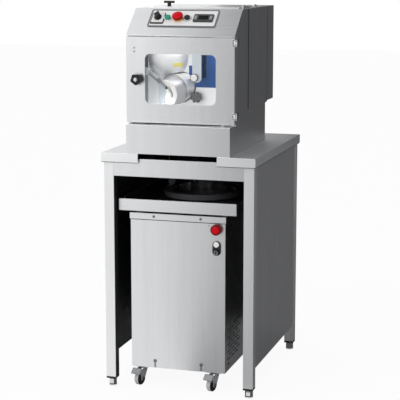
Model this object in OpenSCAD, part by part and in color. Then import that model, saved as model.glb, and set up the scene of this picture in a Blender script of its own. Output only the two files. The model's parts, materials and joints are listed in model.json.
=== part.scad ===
// Dough divider: a divider head on a stainless table, with a rounder trolley parked under it.
// X to the right, Y to the rear, Z up. The origin is on the floor, under the middle of the table.

/* [Table] */
// Width of the table top
table_w = 590; // [560:2:640]
// Depth of the table top
table_d = 730; // [726:2:780]
// Height of the table top over the floor
table_h = 900; // [880:2:960]
// Thickness of the folded sheets
sheet = 2; // [1.5:0.5:3]
// Height of the turned-down lip
lip_h = 33; // [25:1:45]
// Width of the notch in the front of the top
notch_w = 302; // [280:2:320]
// Side of a square leg tube
leg_side = 38; // [35:1:45]
// Wall of a leg tube
leg_wall = 2; // [1.5:0.5:4]
// How far the legs stand behind the front lip
leg_setback = 12; // [6:1:16]
// How far the legs stand inside the side lips
leg_side_gap = 7; // [3:1:12]
// Height of the tube ends over the floor
leg_lift = 37; // [34:1:50]
// Height of a black leg plug below its tube
plug_h = 7; // [4:1:10]
// Across the corners of a screw foot
foot_d = 31; // [26:1:36]
// Height of the side and rear panels over the floor
panel_lift = 108; // [90:2:160]
// Height of the front apron
apron_h = 66; // [40:2:68]
// How far the apron's top edge lies below the table top
apron_drop = 20; // [16:1:24]

/* [Head] */
// Width of the head at its door
head_w = 412; // [404:2:430]
// Width of the plinth
plinth_w = 396; // [384:2:400]
// How far the plinth stands behind the table's front edge
plinth_setback = 6; // [4:1:12]
// Depth of the plinth
plinth_d = 522; // [500:2:540]
// Height of the plinth
plinth_h = 107; // [90:1:120]
// How far the door stands behind the table's front edge
door_setback = 38; // [34:1:42]
// Depth of the folded door
door_fold = 20; // [14:1:21]
// Gap between the plinth and the door
door_gap = 6; // [3:1:10]
// Height of the door
door_h = 314; // [310:1:340]
// How far the sloped fascia runs back
slope_run = 112; // [105:1:116]
// How far the sloped fascia rises
slope_rise = 93; // [85:1:105]
// How far the hood stands behind the table's front edge, at its front
hood_start = 230; // [210:2:250]
// How far the rear box starts behind the table's front edge
box_start = 512; // [500:2:524]
// Depth of the rear box
box_d = 103; // [90:1:110]
// Thickness of the hood
hood_t = 2; // [2:0.5:4]
// Height of the hood's lower edge over the plinth
hood_lift = 45; // [30:1:47]

/* [Door] */
// Width of the window
window_w = 270; // [200:2:280]
// Height of the window
window_h = 182; // [150:2:190]
// Corner radius of the window
window_r = 20; // [8:1:30]
// Thickness of the clear pane
pane_t = 4; // [3:0.5:6]
// How far the pane reaches behind the window's edge
pane_lap = 14; // [8:1:20]
// Width of the door's five-sided knob
star_d = 42; // [36:1:46]
// Diameter of a hinge pin
hinge_pin_d = 5; // [4:0.5:5]
// Diameter of a hinge knuckle
knuckle_d = 11; // [9:0.5:11]
// Height of one hinge
hinge_h = 26; // [20:1:36]

/* [Controls] */
// Width of the control panel
panel_w = 260; // [256:2:300]
// Height of the control panel along the slope
panel_h = 92; // [84:1:100]
// Thickness of the dark panel frame
panel_t = 3; // [2:0.5:4]
// Diameter of a push button
button_d = 22; // [18:1:24]
// Travel of a push button
button_travel = 3; // [1:0.5:3.5]
// Diameter of an emergency stop's head
stop_d = 40; // [36:1:42]
// Travel of an emergency stop
stop_travel = 5; // [3:0.5:6]
// Diameter of the mounting holes of the buttons
mount_hole_d = 22.2; // [22.1:0.1:22.5]

/* [Dough path] */
// How far the bulkhead stands behind the table's front edge
bulkhead_setback = 150; // [148:1:156]
// Sideways turn of the auger's axis
auger_yaw = 25; // [22:1:26]
// Downward tilt of the auger's axis
auger_dip = 12; // [10:1:13]
// Inner diameter of the auger barrel
barrel_bore = 92; // [86:1:98]
// Wall of the auger barrel
barrel_wall = 8; // [6:1:9]
// Length of the auger barrel
barrel_l = 270; // [264:1:274]
// Length of the white nozzle
nozzle_l = 60; // [56:1:62]
// Diameter of the nozzle's mouth
mouth_d = 56; // [36:1:60]
// Diameter of the auger shaft
auger_shaft_d = 26; // [22:1:30]
// Gap between the auger's flight and its barrel
flight_gap = 2; // [1:0.5:3]
// Length of the knife arm, from pivot to tip
knife_l = 106; // [100:1:108]
// Diameter of the knife shaft
knife_shaft_d = 12; // [10:1:14]
// Width of the hopper
hopper_w = 330; // [300:2:334]
// Depth of the hopper
hopper_d = 230; // [226:2:240]
// Depth of the hopper's tank below the top cover
hopper_h = 160; // [140:2:166]

/* [Trolley] */
// How far the parked trolley stands off the table's middle
trolley_x = -13; // [-20:1:12]
// How far the cabinet stands behind the table's front edge
cabinet_setback = 48; // [46:1:52]
// Width of the cabinet
cabinet_w = 368; // [350:2:380]
// Depth of the cabinet
cabinet_d = 650; // [640:2:654]
// Height of the cabinet's floor over the ground
cabinet_lift = 76; // [74:1:80]
// Height of the cabinet's sheets
cabinet_h = 573; // [560:1:580]
// Height of the rim round the cabinet's top
rim_h = 23; // [16:1:30]
// Width of the tray
tray_w = 456; // [430:2:460]
// How far the tray reaches over the cabinet at each end
tray_over = 8; // [6:1:10]
// Height of the tray's wall
tray_h = 44; // [40:1:50]
// Outer diameter of the rounding bowl
bowl_d = 304; // [290:2:320]
// Wall of the rounding bowl
bowl_wall = 22; // [16:1:28]
// Height of the rounding bowl
bowl_h = 22; // [18:1:26]
// Diameter of the bowl's shaft
bowl_shaft_d = 30; // [24:1:36]
// Diameter of a castor wheel
wheel_d = 52; // [48:1:53]
// Width of a castor wheel
wheel_w = 20; // [16:1:22]
// How far a swivel castor's wheel trails its pivot
wheel_trail = 26; // [22:1:28]
// Diameter of the wheel axles
axle_d = 8; // [6:0.5:9]

/* [Hidden] */
$fn = 48;

steel = "#cfd0d1";
bright = "#e4e5e6";
black = "#1c1c1d";
grey = "#8e9092";
white = "#f2f2f0";
red = "#c4161c";
green = "#1f9a78";
clear = [0.85, 0.92, 0.95, 0.3];

// Clearances and small allowances
run_gap = 0.05;
part_gap = 0.3;
slide_gap = 0.1;
eps = 1;

// Table
leg_out_x = table_w / 2 - leg_side_gap;
leg_in_x = leg_out_x - leg_side;
leg_mid_x = leg_out_x - leg_side / 2;
leg_rear_y = table_d - leg_setback;
under_top = table_h - sheet;
panel_inset = 0.5;
foot_stud_d = 10;
plug_z = leg_lift - plug_h;
plug_stem_h = 18;
corners = [[-1, 0], [1, 0], [-1, 1], [1, 1]];

// Head
deck_z = table_h + plinth_h;
door_z = deck_z + door_gap;
door_top = door_z + door_h;
slope_a = atan2(slope_rise, slope_run);
sheet_v = sheet / cos(slope_a);
crease_gap = 3;
crease_z = door_top + crease_gap + sheet_v;
top_z = crease_z + slope_rise;
slope_end = door_setback + slope_run;
slope_l = norm([slope_run, slope_rise]);
cheek_start = door_setback + door_fold + part_gap;
cheek_end = hood_start + 70;
cheek_x = head_w / 2;
cheek_flange = 16;
plinth_end = plinth_setback + plinth_d;
hood_z = deck_z + hood_lift;
riser_h = hood_lift + 4;
box_lift = riser_h + 2;
box_end = box_start + box_d;
drop_w = notch_w - 2;
drop_start = door_setback + 8;

// Door
window_x = 1;
window_rise = 161;
window_z = door_z + window_rise;
star_x = -162;
star_rise = 159;
star_z = door_z + star_rise;
star_h = 14;
star_neck = 9;
star_stud_d = 8;
hinge_x = cheek_x + 6;
hinge_y = door_setback - 4;
hinge_low = door_z + 32;
hinge_high = door_top - 18;
catch_gap = 0.4;
catch_y = cheek_start + 4;

// Controls, placed on the slope by x and by distance from the crease
panel_x = -7;
panel_gap = 8.6;
panel_s = slope_l - panel_gap - panel_h / 2;
panel_border = 5;
plate_t = 1.5;
row_s = panel_s - 1;
switch_x = -104;
start_x = -66;
stop_x = -27;
reset_x = 8;
controller_x = 70;
ring_d = button_d + 8;
ring_h = 5;
ring_floor = 1;
shank_d = mount_hole_d - 0.2;
shank_l = 30;
stem_d = 10;
cap_h = 5;
collar_d = stop_d - 4;
collar_h = 5;
stop_stem_d = 14;
switch_w = 44;
switch_h = 50;
switch_t = 4;
switch_shaft_d = 8;
controller_w = 74;
controller_h = 38;
controller_t = 6;
controller_depth = 45;
key_w = 9;
key_h = 20;
key_off = 29;
key_travel = 0.8;

// Dough path. The mouth of the nozzle is the origin of the auger's axis.
mouth_x = -65;
mouth_back = 50;
mouth_rise = 113;
mouth = [mouth_x, door_setback + mouth_back, deck_z + mouth_rise];
barrel_d = barrel_bore + 2 * barrel_wall;
nozzle_d = barrel_d + 4;
nozzle_front_d = 96;
barrel_end = nozzle_l + barrel_l;
end_wall = 8;
neck_w = barrel_bore - 2;
neck_l = 130;
neck_start = 130;
neck_wall = 2;
knife_x = -78;
knife_z = 80;
knife_a = -36.5;
knife_gap = 1;
knife_t = 5;
boss_d = 28;
boss_start = 24;
boss_end = 72;
shelf_z = crease_z - 3;
nose_x = -82;
nose_rise = 240;
nose_z = deck_z + nose_rise;
nose_d = 160;
nose_h = 45;
clamp_x = 42;
clamp_z = shelf_z - 22;
clamp_w = 35;
clamp_y = bulkhead_setback - 38;
clamp_t = 3;
clamp_pin_d = 10;
clamp_l = 150;
knob_x = 34;
knob_rise = 94;
knob_z = deck_z + knob_rise;
knob_stud_d = 8;
liner_x = notch_w / 2 + 5;
liner_h = 174;
liner_start = catch_y + 8;
hopper_x = 15;
hopper_y = slope_end + 20;
hopper_rim = 6;
hopper_z = top_z - sheet - hopper_h;

// Lid
lid_over = 10;
lid_h = 6;
lid_x0 = hopper_x - hopper_w / 2 - lid_over;
lid_x1 = hopper_x + hopper_w / 2 + 8;
lid_y0 = hopper_y - 8;
lid_y1 = hopper_y + hopper_d + 8;
lid_pin_d = 4;
lid_knuckle_d = 9;
lid_axis_x = lid_x1 + 6;
lid_axis_z = top_z + lid_h;
lid_knuckle_l = 15;
handle_x = -92;
handle_y = hopper_y + 32;
handle_w = 40;
handle_d = 9;
handle_h = 21;

// Trolley
cabinet_top = cabinet_lift + cabinet_h;
rim_top = cabinet_top + rim_h;
rim_t = 3;
floor_t = 3;
tray_gap = 8;
tray_step = 10;
tray_z = rim_top + tray_gap;
tray_floor_z = tray_z + tray_step;
// The table width that the tray's width is given for; the tray follows a wider or narrower table
tray_table_w = 590;
tray_span = tray_w + table_w - tray_table_w;
tray_start = cabinet_setback - tray_over;
tray_d = cabinet_d + 2 * tray_over;
cabinet_end = cabinet_setback + cabinet_d;
bowl_y = cabinet_setback + cabinet_d / 2;
bowl_gap = 4;
bowl_z = tray_floor_z + sheet + bowl_gap;
bowl_floor = 4;
bowl_hub_d = 56;
drive_plate_t = 6;
drive_plate_z = cabinet_top - 12;
gearbox_w = 120;
gearbox_h = 80;
bowl_motor_d = 120;
bowl_motor_h = 170;
vane_r = 92;
vane_t = 4;
vane_h = 30;
vane_gap = 1.5;
post_x = -150;
post_y = 77;
post_w = 28;
post_t = 10;
// The post stands about halfway up the space between the tray and the table
post_share = 53 / 103;
post_h = (under_top - tray_floor_z - sheet) * post_share;
stop_z = cabinet_top - 24;
station_inset = 33;
station_x = cabinet_w / 2 - station_inset;
station_z = cabinet_top - 95;
station_w = 31;
station_h = 54;
station_pitch = 30;
station_d = 21;
cover_screw_x = cabinet_w / 4 - 1;
cover_slot = 6;
cover_slot_h = 28;
castor_inset = 41;
castor_shift = -8;
castor_x = cabinet_w / 2 - castor_inset;
castor_front = 38;
castor_rear = cabinet_d - 60;
castor_plate = 60;
castor_plate_t = 6;
castor_turn = 14;
head_d = 36;
head_t = 6;
fork_t = 3;
pivot_d = 10;
pedal_pin_d = 4;
pedal_reach = 30;
pedal_z = wheel_d + 5;

// Moves from the table's front edge to the part's own frame
module placed() translate([0, -table_d / 2, 0]) children();

// Puts a copy at each corner of the table, as the corner of a leg
module at_legs() {
    for (c = corners)
        translate([
            c[0] < 0 ? -leg_out_x : leg_in_x,
            c[1] == 0 ? leg_setback : leg_rear_y - leg_side,
            0
        ]) children();
}

// Turns a flat outline in X and Z to stand on a plane of constant Y, growing to the rear
module standing(depth) rotate([90, 0, 0]) translate([0, 0, -depth]) linear_extrude(depth) children();

// Turns a flat outline in Y and Z to stand on a plane of constant X, growing to the right
module sideways(width) rotate([90, 0, 90]) linear_extrude(width) children();

// A rectangle about its centre with true round corners
module round_rect(w, h, r) {
    square([w - 2 * r, h], center = true);
    square([w, h - 2 * r], center = true);
    for (x = [-1, 1], y = [-1, 1]) translate([x * (w / 2 - r), y * (h / 2 - r)]) circle(r);
}

// A knob's outline: a round core with lobes
module lobed(d, lobes, lobe_d) {
    circle(d = d - lobe_d);
    for (i = [0 : lobes - 1]) rotate(90 + i * 360 / lobes)
        translate([(d - lobe_d) / 2, 0]) circle(d = lobe_d);
}

// A regular polygon with true round corners, one of them pointing down
module rounded_polygon(sides, d, r) {
    reach = d / 2 - r;
    turns = [for (i = [0 : sides - 1]) i * 360 / sides - 90];
    polygon([for (a = turns, s = [-180 / sides, 180 / sides])
        reach * [cos(a), sin(a)] + r * [cos(a + s), sin(a + s)]]);
    for (a = turns) translate(reach * [cos(a), sin(a)]) circle(r);
}

// A cylinder along Y
module rod_y(d, y0, y1) translate([0, y0, 0]) rotate([-90, 0, 0]) cylinder(d = d, h = y1 - y0);

// The sloped fascia's frame: Y up the slope, Z out of it
module on_slope(x, s) translate([x, door_setback, crease_z]) rotate([slope_a, 0, 0])
    translate([0, s, 0]) children();

// The auger's frame: Y along the axis to the rear, the origin in the nozzle's mouth
module on_axis() translate(mouth) rotate([auger_dip, 0, -auger_yaw]) children();

// The auger's frame seen from above, with Z upright
module on_yaw() translate([mouth[0], mouth[1], 0]) rotate([0, 0, -auger_yaw]) children();

// The trolley's frame: X from its middle, Y from the cabinet's front
module on_trolley() translate([trolley_x, cabinet_setback, 0]) children();

// The trolley's front panel: X from its middle, Y up, Z out to the front
module on_cover(x, z) on_trolley() translate([x, 0, z]) rotate([90, 0, 0]) children();

module table_top() color(steel) placed() difference() {
    translate([-table_w / 2, 0, table_h - lip_h]) cube([table_w, table_d, lip_h]);
    translate([-table_w / 2 + sheet, sheet, table_h - lip_h - eps])
        cube([table_w - 2 * sheet, table_d - 2 * sheet, lip_h + eps - sheet]);
    translate([-notch_w / 2, -eps, table_h - lip_h - eps])
        cube([notch_w, bulkhead_setback + eps, lip_h + 2 * eps]);
}

module legs() color(steel) placed() at_legs() difference() {
    translate([0, 0, leg_lift]) cube([leg_side, leg_side, under_top - leg_lift]);
    translate([leg_wall, leg_wall, leg_lift - eps])
        cube([leg_side - 2 * leg_wall, leg_side - 2 * leg_wall, under_top - leg_lift + 2 * eps]);
}

module leg_plugs() color(black) placed() at_legs() difference() {
    union() {
        translate([0, 0, plug_z]) cube([leg_side, leg_side, plug_h]);
        translate([leg_wall, leg_wall, leg_lift])
            cube([leg_side - 2 * leg_wall, leg_side - 2 * leg_wall, plug_stem_h]);
    }
    translate([leg_side / 2, leg_side / 2, plug_z - eps])
        cylinder(d = foot_stud_d + 2 * run_gap, h = plug_h + plug_stem_h + 2 * eps);
}

// A screw foot under the leg at one corner
module screw_foot(c) color(grey) placed() {
    base_h = 4;
    neck_d = foot_stud_d + 6;
    hex_top = plug_z - 4;
    translate([c[0] * leg_mid_x, c[1] == 0 ? leg_setback + leg_side / 2 : leg_rear_y - leg_side / 2, 0]) {
        cylinder(d = foot_d, h = base_h);
        translate([0, 0, base_h]) cylinder(d = foot_d, h = hex_top - base_h, $fn = 6);
        translate([0, 0, hex_top]) cylinder(d = neck_d, h = plug_z - part_gap - hex_top);
        translate([0, 0, hex_top]) cylinder(d = foot_stud_d, h = leg_lift + plug_stem_h - hex_top);
    }
}
module foot_front_left() screw_foot(corners[0]);
module foot_front_right() screw_foot(corners[1]);
module foot_rear_left() screw_foot(corners[2]);
module foot_rear_right() screw_foot(corners[3]);

module stand_panels() color(steel) placed() {
    side_start = leg_setback + leg_side;
    side_l = leg_rear_y - leg_side - side_start;
    panel_h_z = under_top - panel_lift;
    translate([-leg_in_x, leg_setback, table_h - apron_drop - apron_h]) cube([2 * leg_in_x, sheet, apron_h]);
    for (x = [-leg_out_x + panel_inset, leg_out_x - panel_inset - sheet])
        translate([x, side_start, panel_lift]) cube([sheet, side_l, panel_h_z]);
    translate([-leg_in_x, leg_rear_y - sheet, panel_lift]) cube([2 * leg_in_x, sheet, panel_h_z]);
}

module plinth() color(steel) placed() {
    half = plinth_w / 2;
    difference() {
        translate([-half, plinth_setback, table_h]) cube([plinth_w, plinth_d, plinth_h]);
        translate([-half + sheet, plinth_setback + sheet, table_h - eps])
            cube([plinth_w - 2 * sheet, plinth_d - 2 * sheet, plinth_h + eps - sheet]);
        translate([-drop_w / 2, drop_start, deck_z - sheet - eps])
            cube([drop_w, bulkhead_setback - drop_start, sheet + 2 * eps]);
    }
    difference() {
        translate([-half, hood_start - 20, deck_z]) cube([plinth_w, plinth_end - hood_start + 20, riser_h]);
        translate([-half + sheet, hood_start - 20 - eps, deck_z - eps])
            cube([plinth_w - 2 * sheet, plinth_end - hood_start + 20 + eps - sheet, riser_h + 2 * eps]);
    }
}

module cheeks() color(steel) placed() {
    rise = slope_rise / slope_run;
    for (m = [0, 1]) mirror([m, 0, 0]) {
        translate([cheek_x - sheet, 0, 0]) sideways(sheet) polygon([
            [cheek_start, deck_z],
            [cheek_start, crease_z - sheet_v + (cheek_start - door_setback) * rise],
            [slope_end, top_z - sheet_v],
            [slope_end, top_z - sheet],
            [cheek_end, top_z - sheet],
            [cheek_end, deck_z]
        ]);
        translate([cheek_x - cheek_flange, cheek_start, deck_z])
            cube([cheek_flange, hood_start - 20 - part_gap - cheek_start, sheet]);
    }
    door_catch();
}

// The plate on the left cheek that the star knob's stud draws the door against
module door_catch() {
    catch_h = 36;
    flange_l = 28;
    wall_x = cheek_x - sheet;
    catch_w = wall_x - liner_x - sheet - part_gap;
    translate([-wall_x, catch_y, star_z - catch_h / 2]) cube([catch_w, sheet, catch_h]);
    translate([-wall_x, catch_y, star_z - catch_h / 2]) cube([sheet, flange_l, catch_h]);
}

module fascia() color(steel) placed() {
    rise = slope_rise / slope_run;
    gusset_top = crease_z - sheet_v + door_fold * rise;
    gusset_z = crease_z - sheet_v;
    difference() {
        translate([-cheek_x, 0, 0]) sideways(head_w) polygon([
            [door_setback, crease_z],
            [slope_end, top_z],
            [slope_end, top_z - sheet_v],
            [door_setback, crease_z - sheet_v]
        ]);
        control_holes(sheet + 2 * eps);
    }
    for (x = [-cheek_x, cheek_x - sheet]) translate([x, 0, 0]) sideways(sheet) polygon([
        [door_setback, gusset_z],
        [door_setback + door_fold, gusset_top],
        [door_setback + door_fold, gusset_z]
    ]);
}

// The holes that the controls pass through, cut down to a depth below the slope
module control_holes(depth) {
    for (x = [start_x, stop_x, reset_x])
        on_slope(x, row_s) translate([0, 0, -depth]) cylinder(d = mount_hole_d, h = depth + panel_t + eps);
    on_slope(switch_x, row_s) translate([0, 0, -depth]) cylinder(d = mount_hole_d, h = depth + panel_t + eps);
    on_slope(controller_x, row_s) translate([-controller_w / 2 + 2, -controller_h / 2 + 2, -depth])
        cube([controller_w - 4, controller_h - 4, depth + panel_t + eps]);
}

module top_cover() color(steel) placed() {
    cover_w = 2 * cheek_x;
    difference() {
        translate([-cheek_x, slope_end, top_z - sheet]) cube([cover_w, box_start - slope_end, sheet]);
        translate([hopper_x - hopper_w / 2 + sheet, hopper_y + sheet, top_z - sheet - eps])
            cube([hopper_w - 2 * sheet, hopper_d - 2 * sheet, sheet + 2 * eps]);
    }
    for (y = lid_knuckle_places()) {
        outer = y[0];
        translate([lid_axis_x - lid_knuckle_d / 2, outer, top_z])
            cube([lid_knuckle_d, lid_knuckle_l, lid_axis_z - top_z]);
        translate([lid_axis_x, 0, lid_axis_z]) rod_y(lid_knuckle_d, outer, outer + lid_knuckle_l);
        translate([lid_axis_x, 0, lid_axis_z])
            rod_y(lid_pin_d, min(outer, y[1]), max(outer, y[1]) + lid_knuckle_l);
    }
}

// Start of each fixed lid knuckle and of the lid's own knuckle beside it
function lid_knuckle_places() = [
    [lid_y0 + 28, lid_y0 + 28 + lid_knuckle_l + part_gap],
    [lid_y1 - 28 - lid_knuckle_l, lid_y1 - 28 - 2 * lid_knuckle_l - part_gap]
];

module rear_hood() color(steel) placed() {
    out_x = cheek_x + hood_t;
    for (x = [-out_x, cheek_x])
        translate([x, hood_start, hood_z]) cube([hood_t, box_start - hood_start, top_z - hood_z]);
    difference() {
        translate([-out_x, box_start, deck_z + box_lift]) cube([2 * out_x, box_d, top_z - deck_z - box_lift]);
        translate([-cheek_x, box_start - eps, deck_z + box_lift + hood_t])
            cube([2 * cheek_x, box_d + eps - hood_t, top_z - deck_z - box_lift - 2 * hood_t]);
    }
}

// The domed nose of the bulkhead, a spherical cap of sheet
module nose() translate([nose_x, bulkhead_setback, nose_z]) rotate([90, 0, 0]) rotate_extrude() {
    nose_r = (pow(nose_d / 2, 2) + pow(nose_h, 2)) / (2 * nose_h);
    difference() {
        intersection() {
            translate([0, nose_h - nose_r]) circle(nose_r, $fn = 96);
            square([nose_d, nose_h]);
        }
        translate([0, nose_h - nose_r]) circle(nose_r - sheet, $fn = 96);
    }
}

module bulkhead() color(bright) placed() {
    wall_x = cheek_x - sheet;
    shelf_start = cheek_start + 6;
    knob_boss = 8;
    difference() {
        union() {
            difference() {
                translate([-wall_x, bulkhead_setback, deck_z + sheet])
                    cube([2 * wall_x, sheet, shelf_z - deck_z - sheet]);
                translate([nose_x, 0, nose_z])
                    rod_y(nose_d - 2 * sheet, bulkhead_setback - eps, bulkhead_setback + sheet + eps);
            }
            nose();
            translate([-wall_x, shelf_start, shelf_z - sheet])
                cube([2 * wall_x, bulkhead_setback + sheet - shelf_start, sheet]);
            on_axis() translate([knife_x, 0, knife_z]) rod_y(boss_d, boss_start, boss_end);
            translate([clamp_x, 0, clamp_z]) rod_y(clamp_pin_d, clamp_y, bulkhead_setback + sheet);
            translate([knob_x, 0, knob_z])
                rod_y(knob_stud_d + 8, bulkhead_setback - knob_boss, bulkhead_setback + sheet);
        }
        on_axis() rod_y(nozzle_d + 4, 0, barrel_end);
        on_axis() translate([knife_x, 0, knife_z])
            rod_y(knife_shaft_d + 2 * run_gap, 0, boss_end + eps);
        translate([knob_x, 0, knob_z])
            rod_y(knob_stud_d + 2 * run_gap, bulkhead_setback - knob_boss - eps,
                bulkhead_setback + sheet + eps);
    }
}

module drop_chute() color(bright) placed() {
    slide_x = -140;
    slide_w = 180;
    slide_end = 330;
    slide_rise = 44;
    slide_top = table_h - apron_drop - 2;
    low = table_h - apron_drop - apron_h + 12;
    for (x = [-liner_x - sheet, liner_x])
        translate([x, liner_start, deck_z]) cube([sheet, bulkhead_setback - liner_start, liner_h]);
    translate([slide_x, 0, 0]) difference() {
        sideways(slide_w) polygon([
            [leg_setback + sheet, low + slide_rise],
            [leg_setback + sheet, slide_top],
            [bulkhead_setback, slide_top],
            [bulkhead_setback, under_top],
            [slide_end, under_top],
            [slide_end, low]
        ]);
        translate([sheet, 0, 0]) sideways(slide_w - 2 * sheet) polygon([
            [leg_setback + 2 * sheet, low + slide_rise + sheet],
            [leg_setback + 2 * sheet, table_h + eps],
            [slide_end + eps, table_h + eps],
            [slide_end + eps, low + sheet]
        ]);
    }
}

module hopper() color(bright) placed() {
    difference() {
        union() {
            translate([hopper_x - hopper_w / 2, hopper_y, hopper_z]) cube([hopper_w, hopper_d, hopper_h]);
            translate([hopper_x - hopper_w / 2 - hopper_rim, hopper_y - hopper_rim, top_z - 2 * sheet])
                cube([hopper_w + 2 * hopper_rim, hopper_d + 2 * hopper_rim, sheet]);
        }
        translate([hopper_x - hopper_w / 2 + sheet, hopper_y + sheet, hopper_z + sheet])
            cube([hopper_w - 2 * sheet, hopper_d - 2 * sheet, hopper_h]);
        on_yaw() translate([-neck_w / 2, neck_start, hopper_z - eps]) cube([neck_w, neck_l, sheet + 2 * eps]);
    }
}

module barrel() color(bright) placed() {
    saddle_y = 190;
    saddle_w = 70;
    saddle_t = 12;
    axis_z = mouth[2] + saddle_y * tan(auger_dip);
    neck_base = mouth[2] + neck_start * tan(auger_dip);
    difference() {
        union() {
            on_axis() rod_y(barrel_d, nozzle_l, barrel_end);
            on_yaw() translate([-neck_w / 2 - neck_wall, neck_start - neck_wall, neck_base])
                cube([neck_w + 2 * neck_wall, neck_l + 2 * neck_wall, hopper_z - neck_base]);
            on_yaw() translate([-saddle_w / 2, saddle_y, deck_z]) cube([saddle_w, saddle_t, axis_z - deck_z]);
        }
        on_axis() rod_y(barrel_bore, nozzle_l - eps, barrel_end - end_wall);
        on_axis() rod_y(auger_shaft_d + 2 * run_gap, nozzle_l, barrel_end + eps);
        on_yaw() translate([-neck_w / 2, neck_start, neck_base + barrel_bore / 4])
            cube([neck_w, neck_l, hopper_z - neck_base]);
    }
}

module nozzle() color(white) placed() on_axis() rotate([-90, 0, 0]) rotate_extrude() polygon([
    [mouth_d / 2, 0],
    [nozzle_front_d / 2, 0],
    [nozzle_d / 2, nozzle_l * 0.6],
    [nozzle_d / 2, nozzle_l],
    [barrel_bore / 2, nozzle_l],
    [mouth_d / 2, nozzle_l / 3]
]);

module auger_shaft() color(steel) placed() on_axis() {
    nose_l = 20;
    drive_l = 50;
    rod_y(auger_shaft_d, nozzle_l, barrel_end + drive_l);
    translate([0, nozzle_l - nose_l, 0]) rotate([-90, 0, 0])
        cylinder(d1 = auger_shaft_d / 2, d2 = auger_shaft_d, h = nose_l);
}

module auger_flight() color(steel) placed() on_axis() {
    turns = 4;
    flight_t = 9;
    flight_start = nozzle_l + 4;
    flight_l = barrel_l - end_wall - 8;
    root_r = auger_shaft_d / 2 - slide_gap;
    tip_r = barrel_bore / 2 - flight_gap;
    translate([0, flight_start, 0]) rotate([-90, 0, 0])
        linear_extrude(flight_l, twist = 360 * turns, slices = 16 * turns, segments = 8)
            translate([root_r, -flight_t / 2]) square([tip_r - root_r - eps, flight_t]);
}

module auger_motor() color(grey) placed() {
    gear_l = 60;
    gear_d = 104;
    motor_l = 100;
    motor_d = 90;
    foot_w = 70;
    foot_t = 12;
    foot_y = (barrel_end + gear_l / 2) * cos(auger_dip);
    foot_h = mouth[2] + foot_y * tan(auger_dip) - gear_d / 2 - deck_z + 8;
    on_axis() difference() {
        union() {
            rod_y(gear_d, barrel_end, barrel_end + gear_l);
            rod_y(motor_d, barrel_end + gear_l, barrel_end + gear_l + motor_l);
        }
        rod_y(auger_shaft_d + 2 * run_gap, barrel_end - eps, barrel_end + gear_l - 4);
    }
    on_yaw() translate([-foot_w / 2, foot_y, deck_z]) cube([foot_w, foot_t, foot_h]);
}

module knife() color(bright) placed() on_axis() translate([knife_x, 0, knife_z]) {
    hub_d = 26;
    hub_h = 10;
    arm_w = 14;
    arm_back = knife_gap + 0.5;
    blade_w = 22;
    blade_l = 66;
    blade_at = 74;
    blade_t = 2;
    blade_turn = -62;
    rod_y(knife_shaft_d, -knife_gap - hub_h / 2, boss_end + 30);
    rod_y(hub_d, -knife_gap - hub_h, -knife_gap);
    translate([0, -arm_back - knife_t, 0]) rotate([0, -knife_a, 0]) {
        standing(knife_t) {
            translate([0, -arm_w / 2]) square([knife_l - arm_w / 2, arm_w]);
            translate([knife_l - arm_w / 2, 0]) circle(d = arm_w);
        }
        translate([blade_at, (knife_t - blade_t) / 2, 0]) rotate([0, -blade_turn, 0]) standing(blade_t)
            translate([0, -blade_w / 2]) square([blade_l, blade_w]);
    }
}

module knife_motor() color(grey) placed() on_axis() translate([knife_x, 0, knife_z]) difference() {
    gear_d = 60;
    gear_l = 40;
    motor_d = 50;
    motor_l = 30;
    bore_l = 36;
    union() {
        rod_y(gear_d, boss_end, boss_end + gear_l);
        rod_y(motor_d, boss_end + gear_l, boss_end + gear_l + motor_l);
    }
    rod_y(knife_shaft_d + 2 * run_gap, boss_end - eps, boss_end + bore_l);
}

module clamp_arm() color(steel) placed() translate([clamp_x, 0, clamp_z]) {
    disc_d = 30;
    disc_h = 8;
    hub_d = 24;
    disc_x = -9;
    disc_z = -132;
    difference() {
        union() {
            translate([0, clamp_y, 0]) standing(clamp_t) {
                circle(d = clamp_w);
                translate([-clamp_w / 2, -clamp_l + clamp_w / 2]) square([clamp_w, clamp_l - clamp_w / 2]);
                translate([0, -clamp_l + clamp_w / 2]) circle(d = clamp_w);
            }
            rod_y(hub_d, clamp_y, bulkhead_setback - part_gap);
            translate([disc_x, 0, disc_z]) rod_y(disc_d, clamp_y - disc_h, clamp_y);
        }
        rod_y(clamp_pin_d + 2 * run_gap, clamp_y - eps, bulkhead_setback);
    }
}

module nozzle_knob() color(grey) placed() translate([knob_x, 0, knob_z]) {
    knob_d = 42;
    knob_t = 16;
    knob_y = bulkhead_setback - 8 - part_gap;
    translate([0, knob_y - knob_t, 0]) standing(knob_t) lobed(knob_d, 7, 11);
    rod_y(knob_stud_d, knob_y - knob_t, bulkhead_setback + sheet);
}

module door_panel() color(steel) placed() {
    half = head_w / 2;
    difference() {
        translate([-half, door_setback, door_z]) cube([head_w, door_fold, door_h]);
        translate([-half + sheet, door_setback + sheet, door_z + sheet])
            cube([head_w - 2 * sheet, door_fold, door_h - 2 * sheet]);
        translate([window_x, door_setback - eps, window_z]) standing(sheet + 2 * eps)
            round_rect(window_w, window_h, window_r);
        translate([star_x, 0, star_z])
            rod_y(star_stud_d + 2 * run_gap, door_setback - eps, door_setback + sheet + eps);
    }
}

module window_pane() color(clear) placed() translate([window_x, door_setback + sheet, window_z])
    standing(pane_t)
    round_rect(window_w + 2 * pane_lap, window_h + 2 * pane_lap, window_r);

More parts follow.
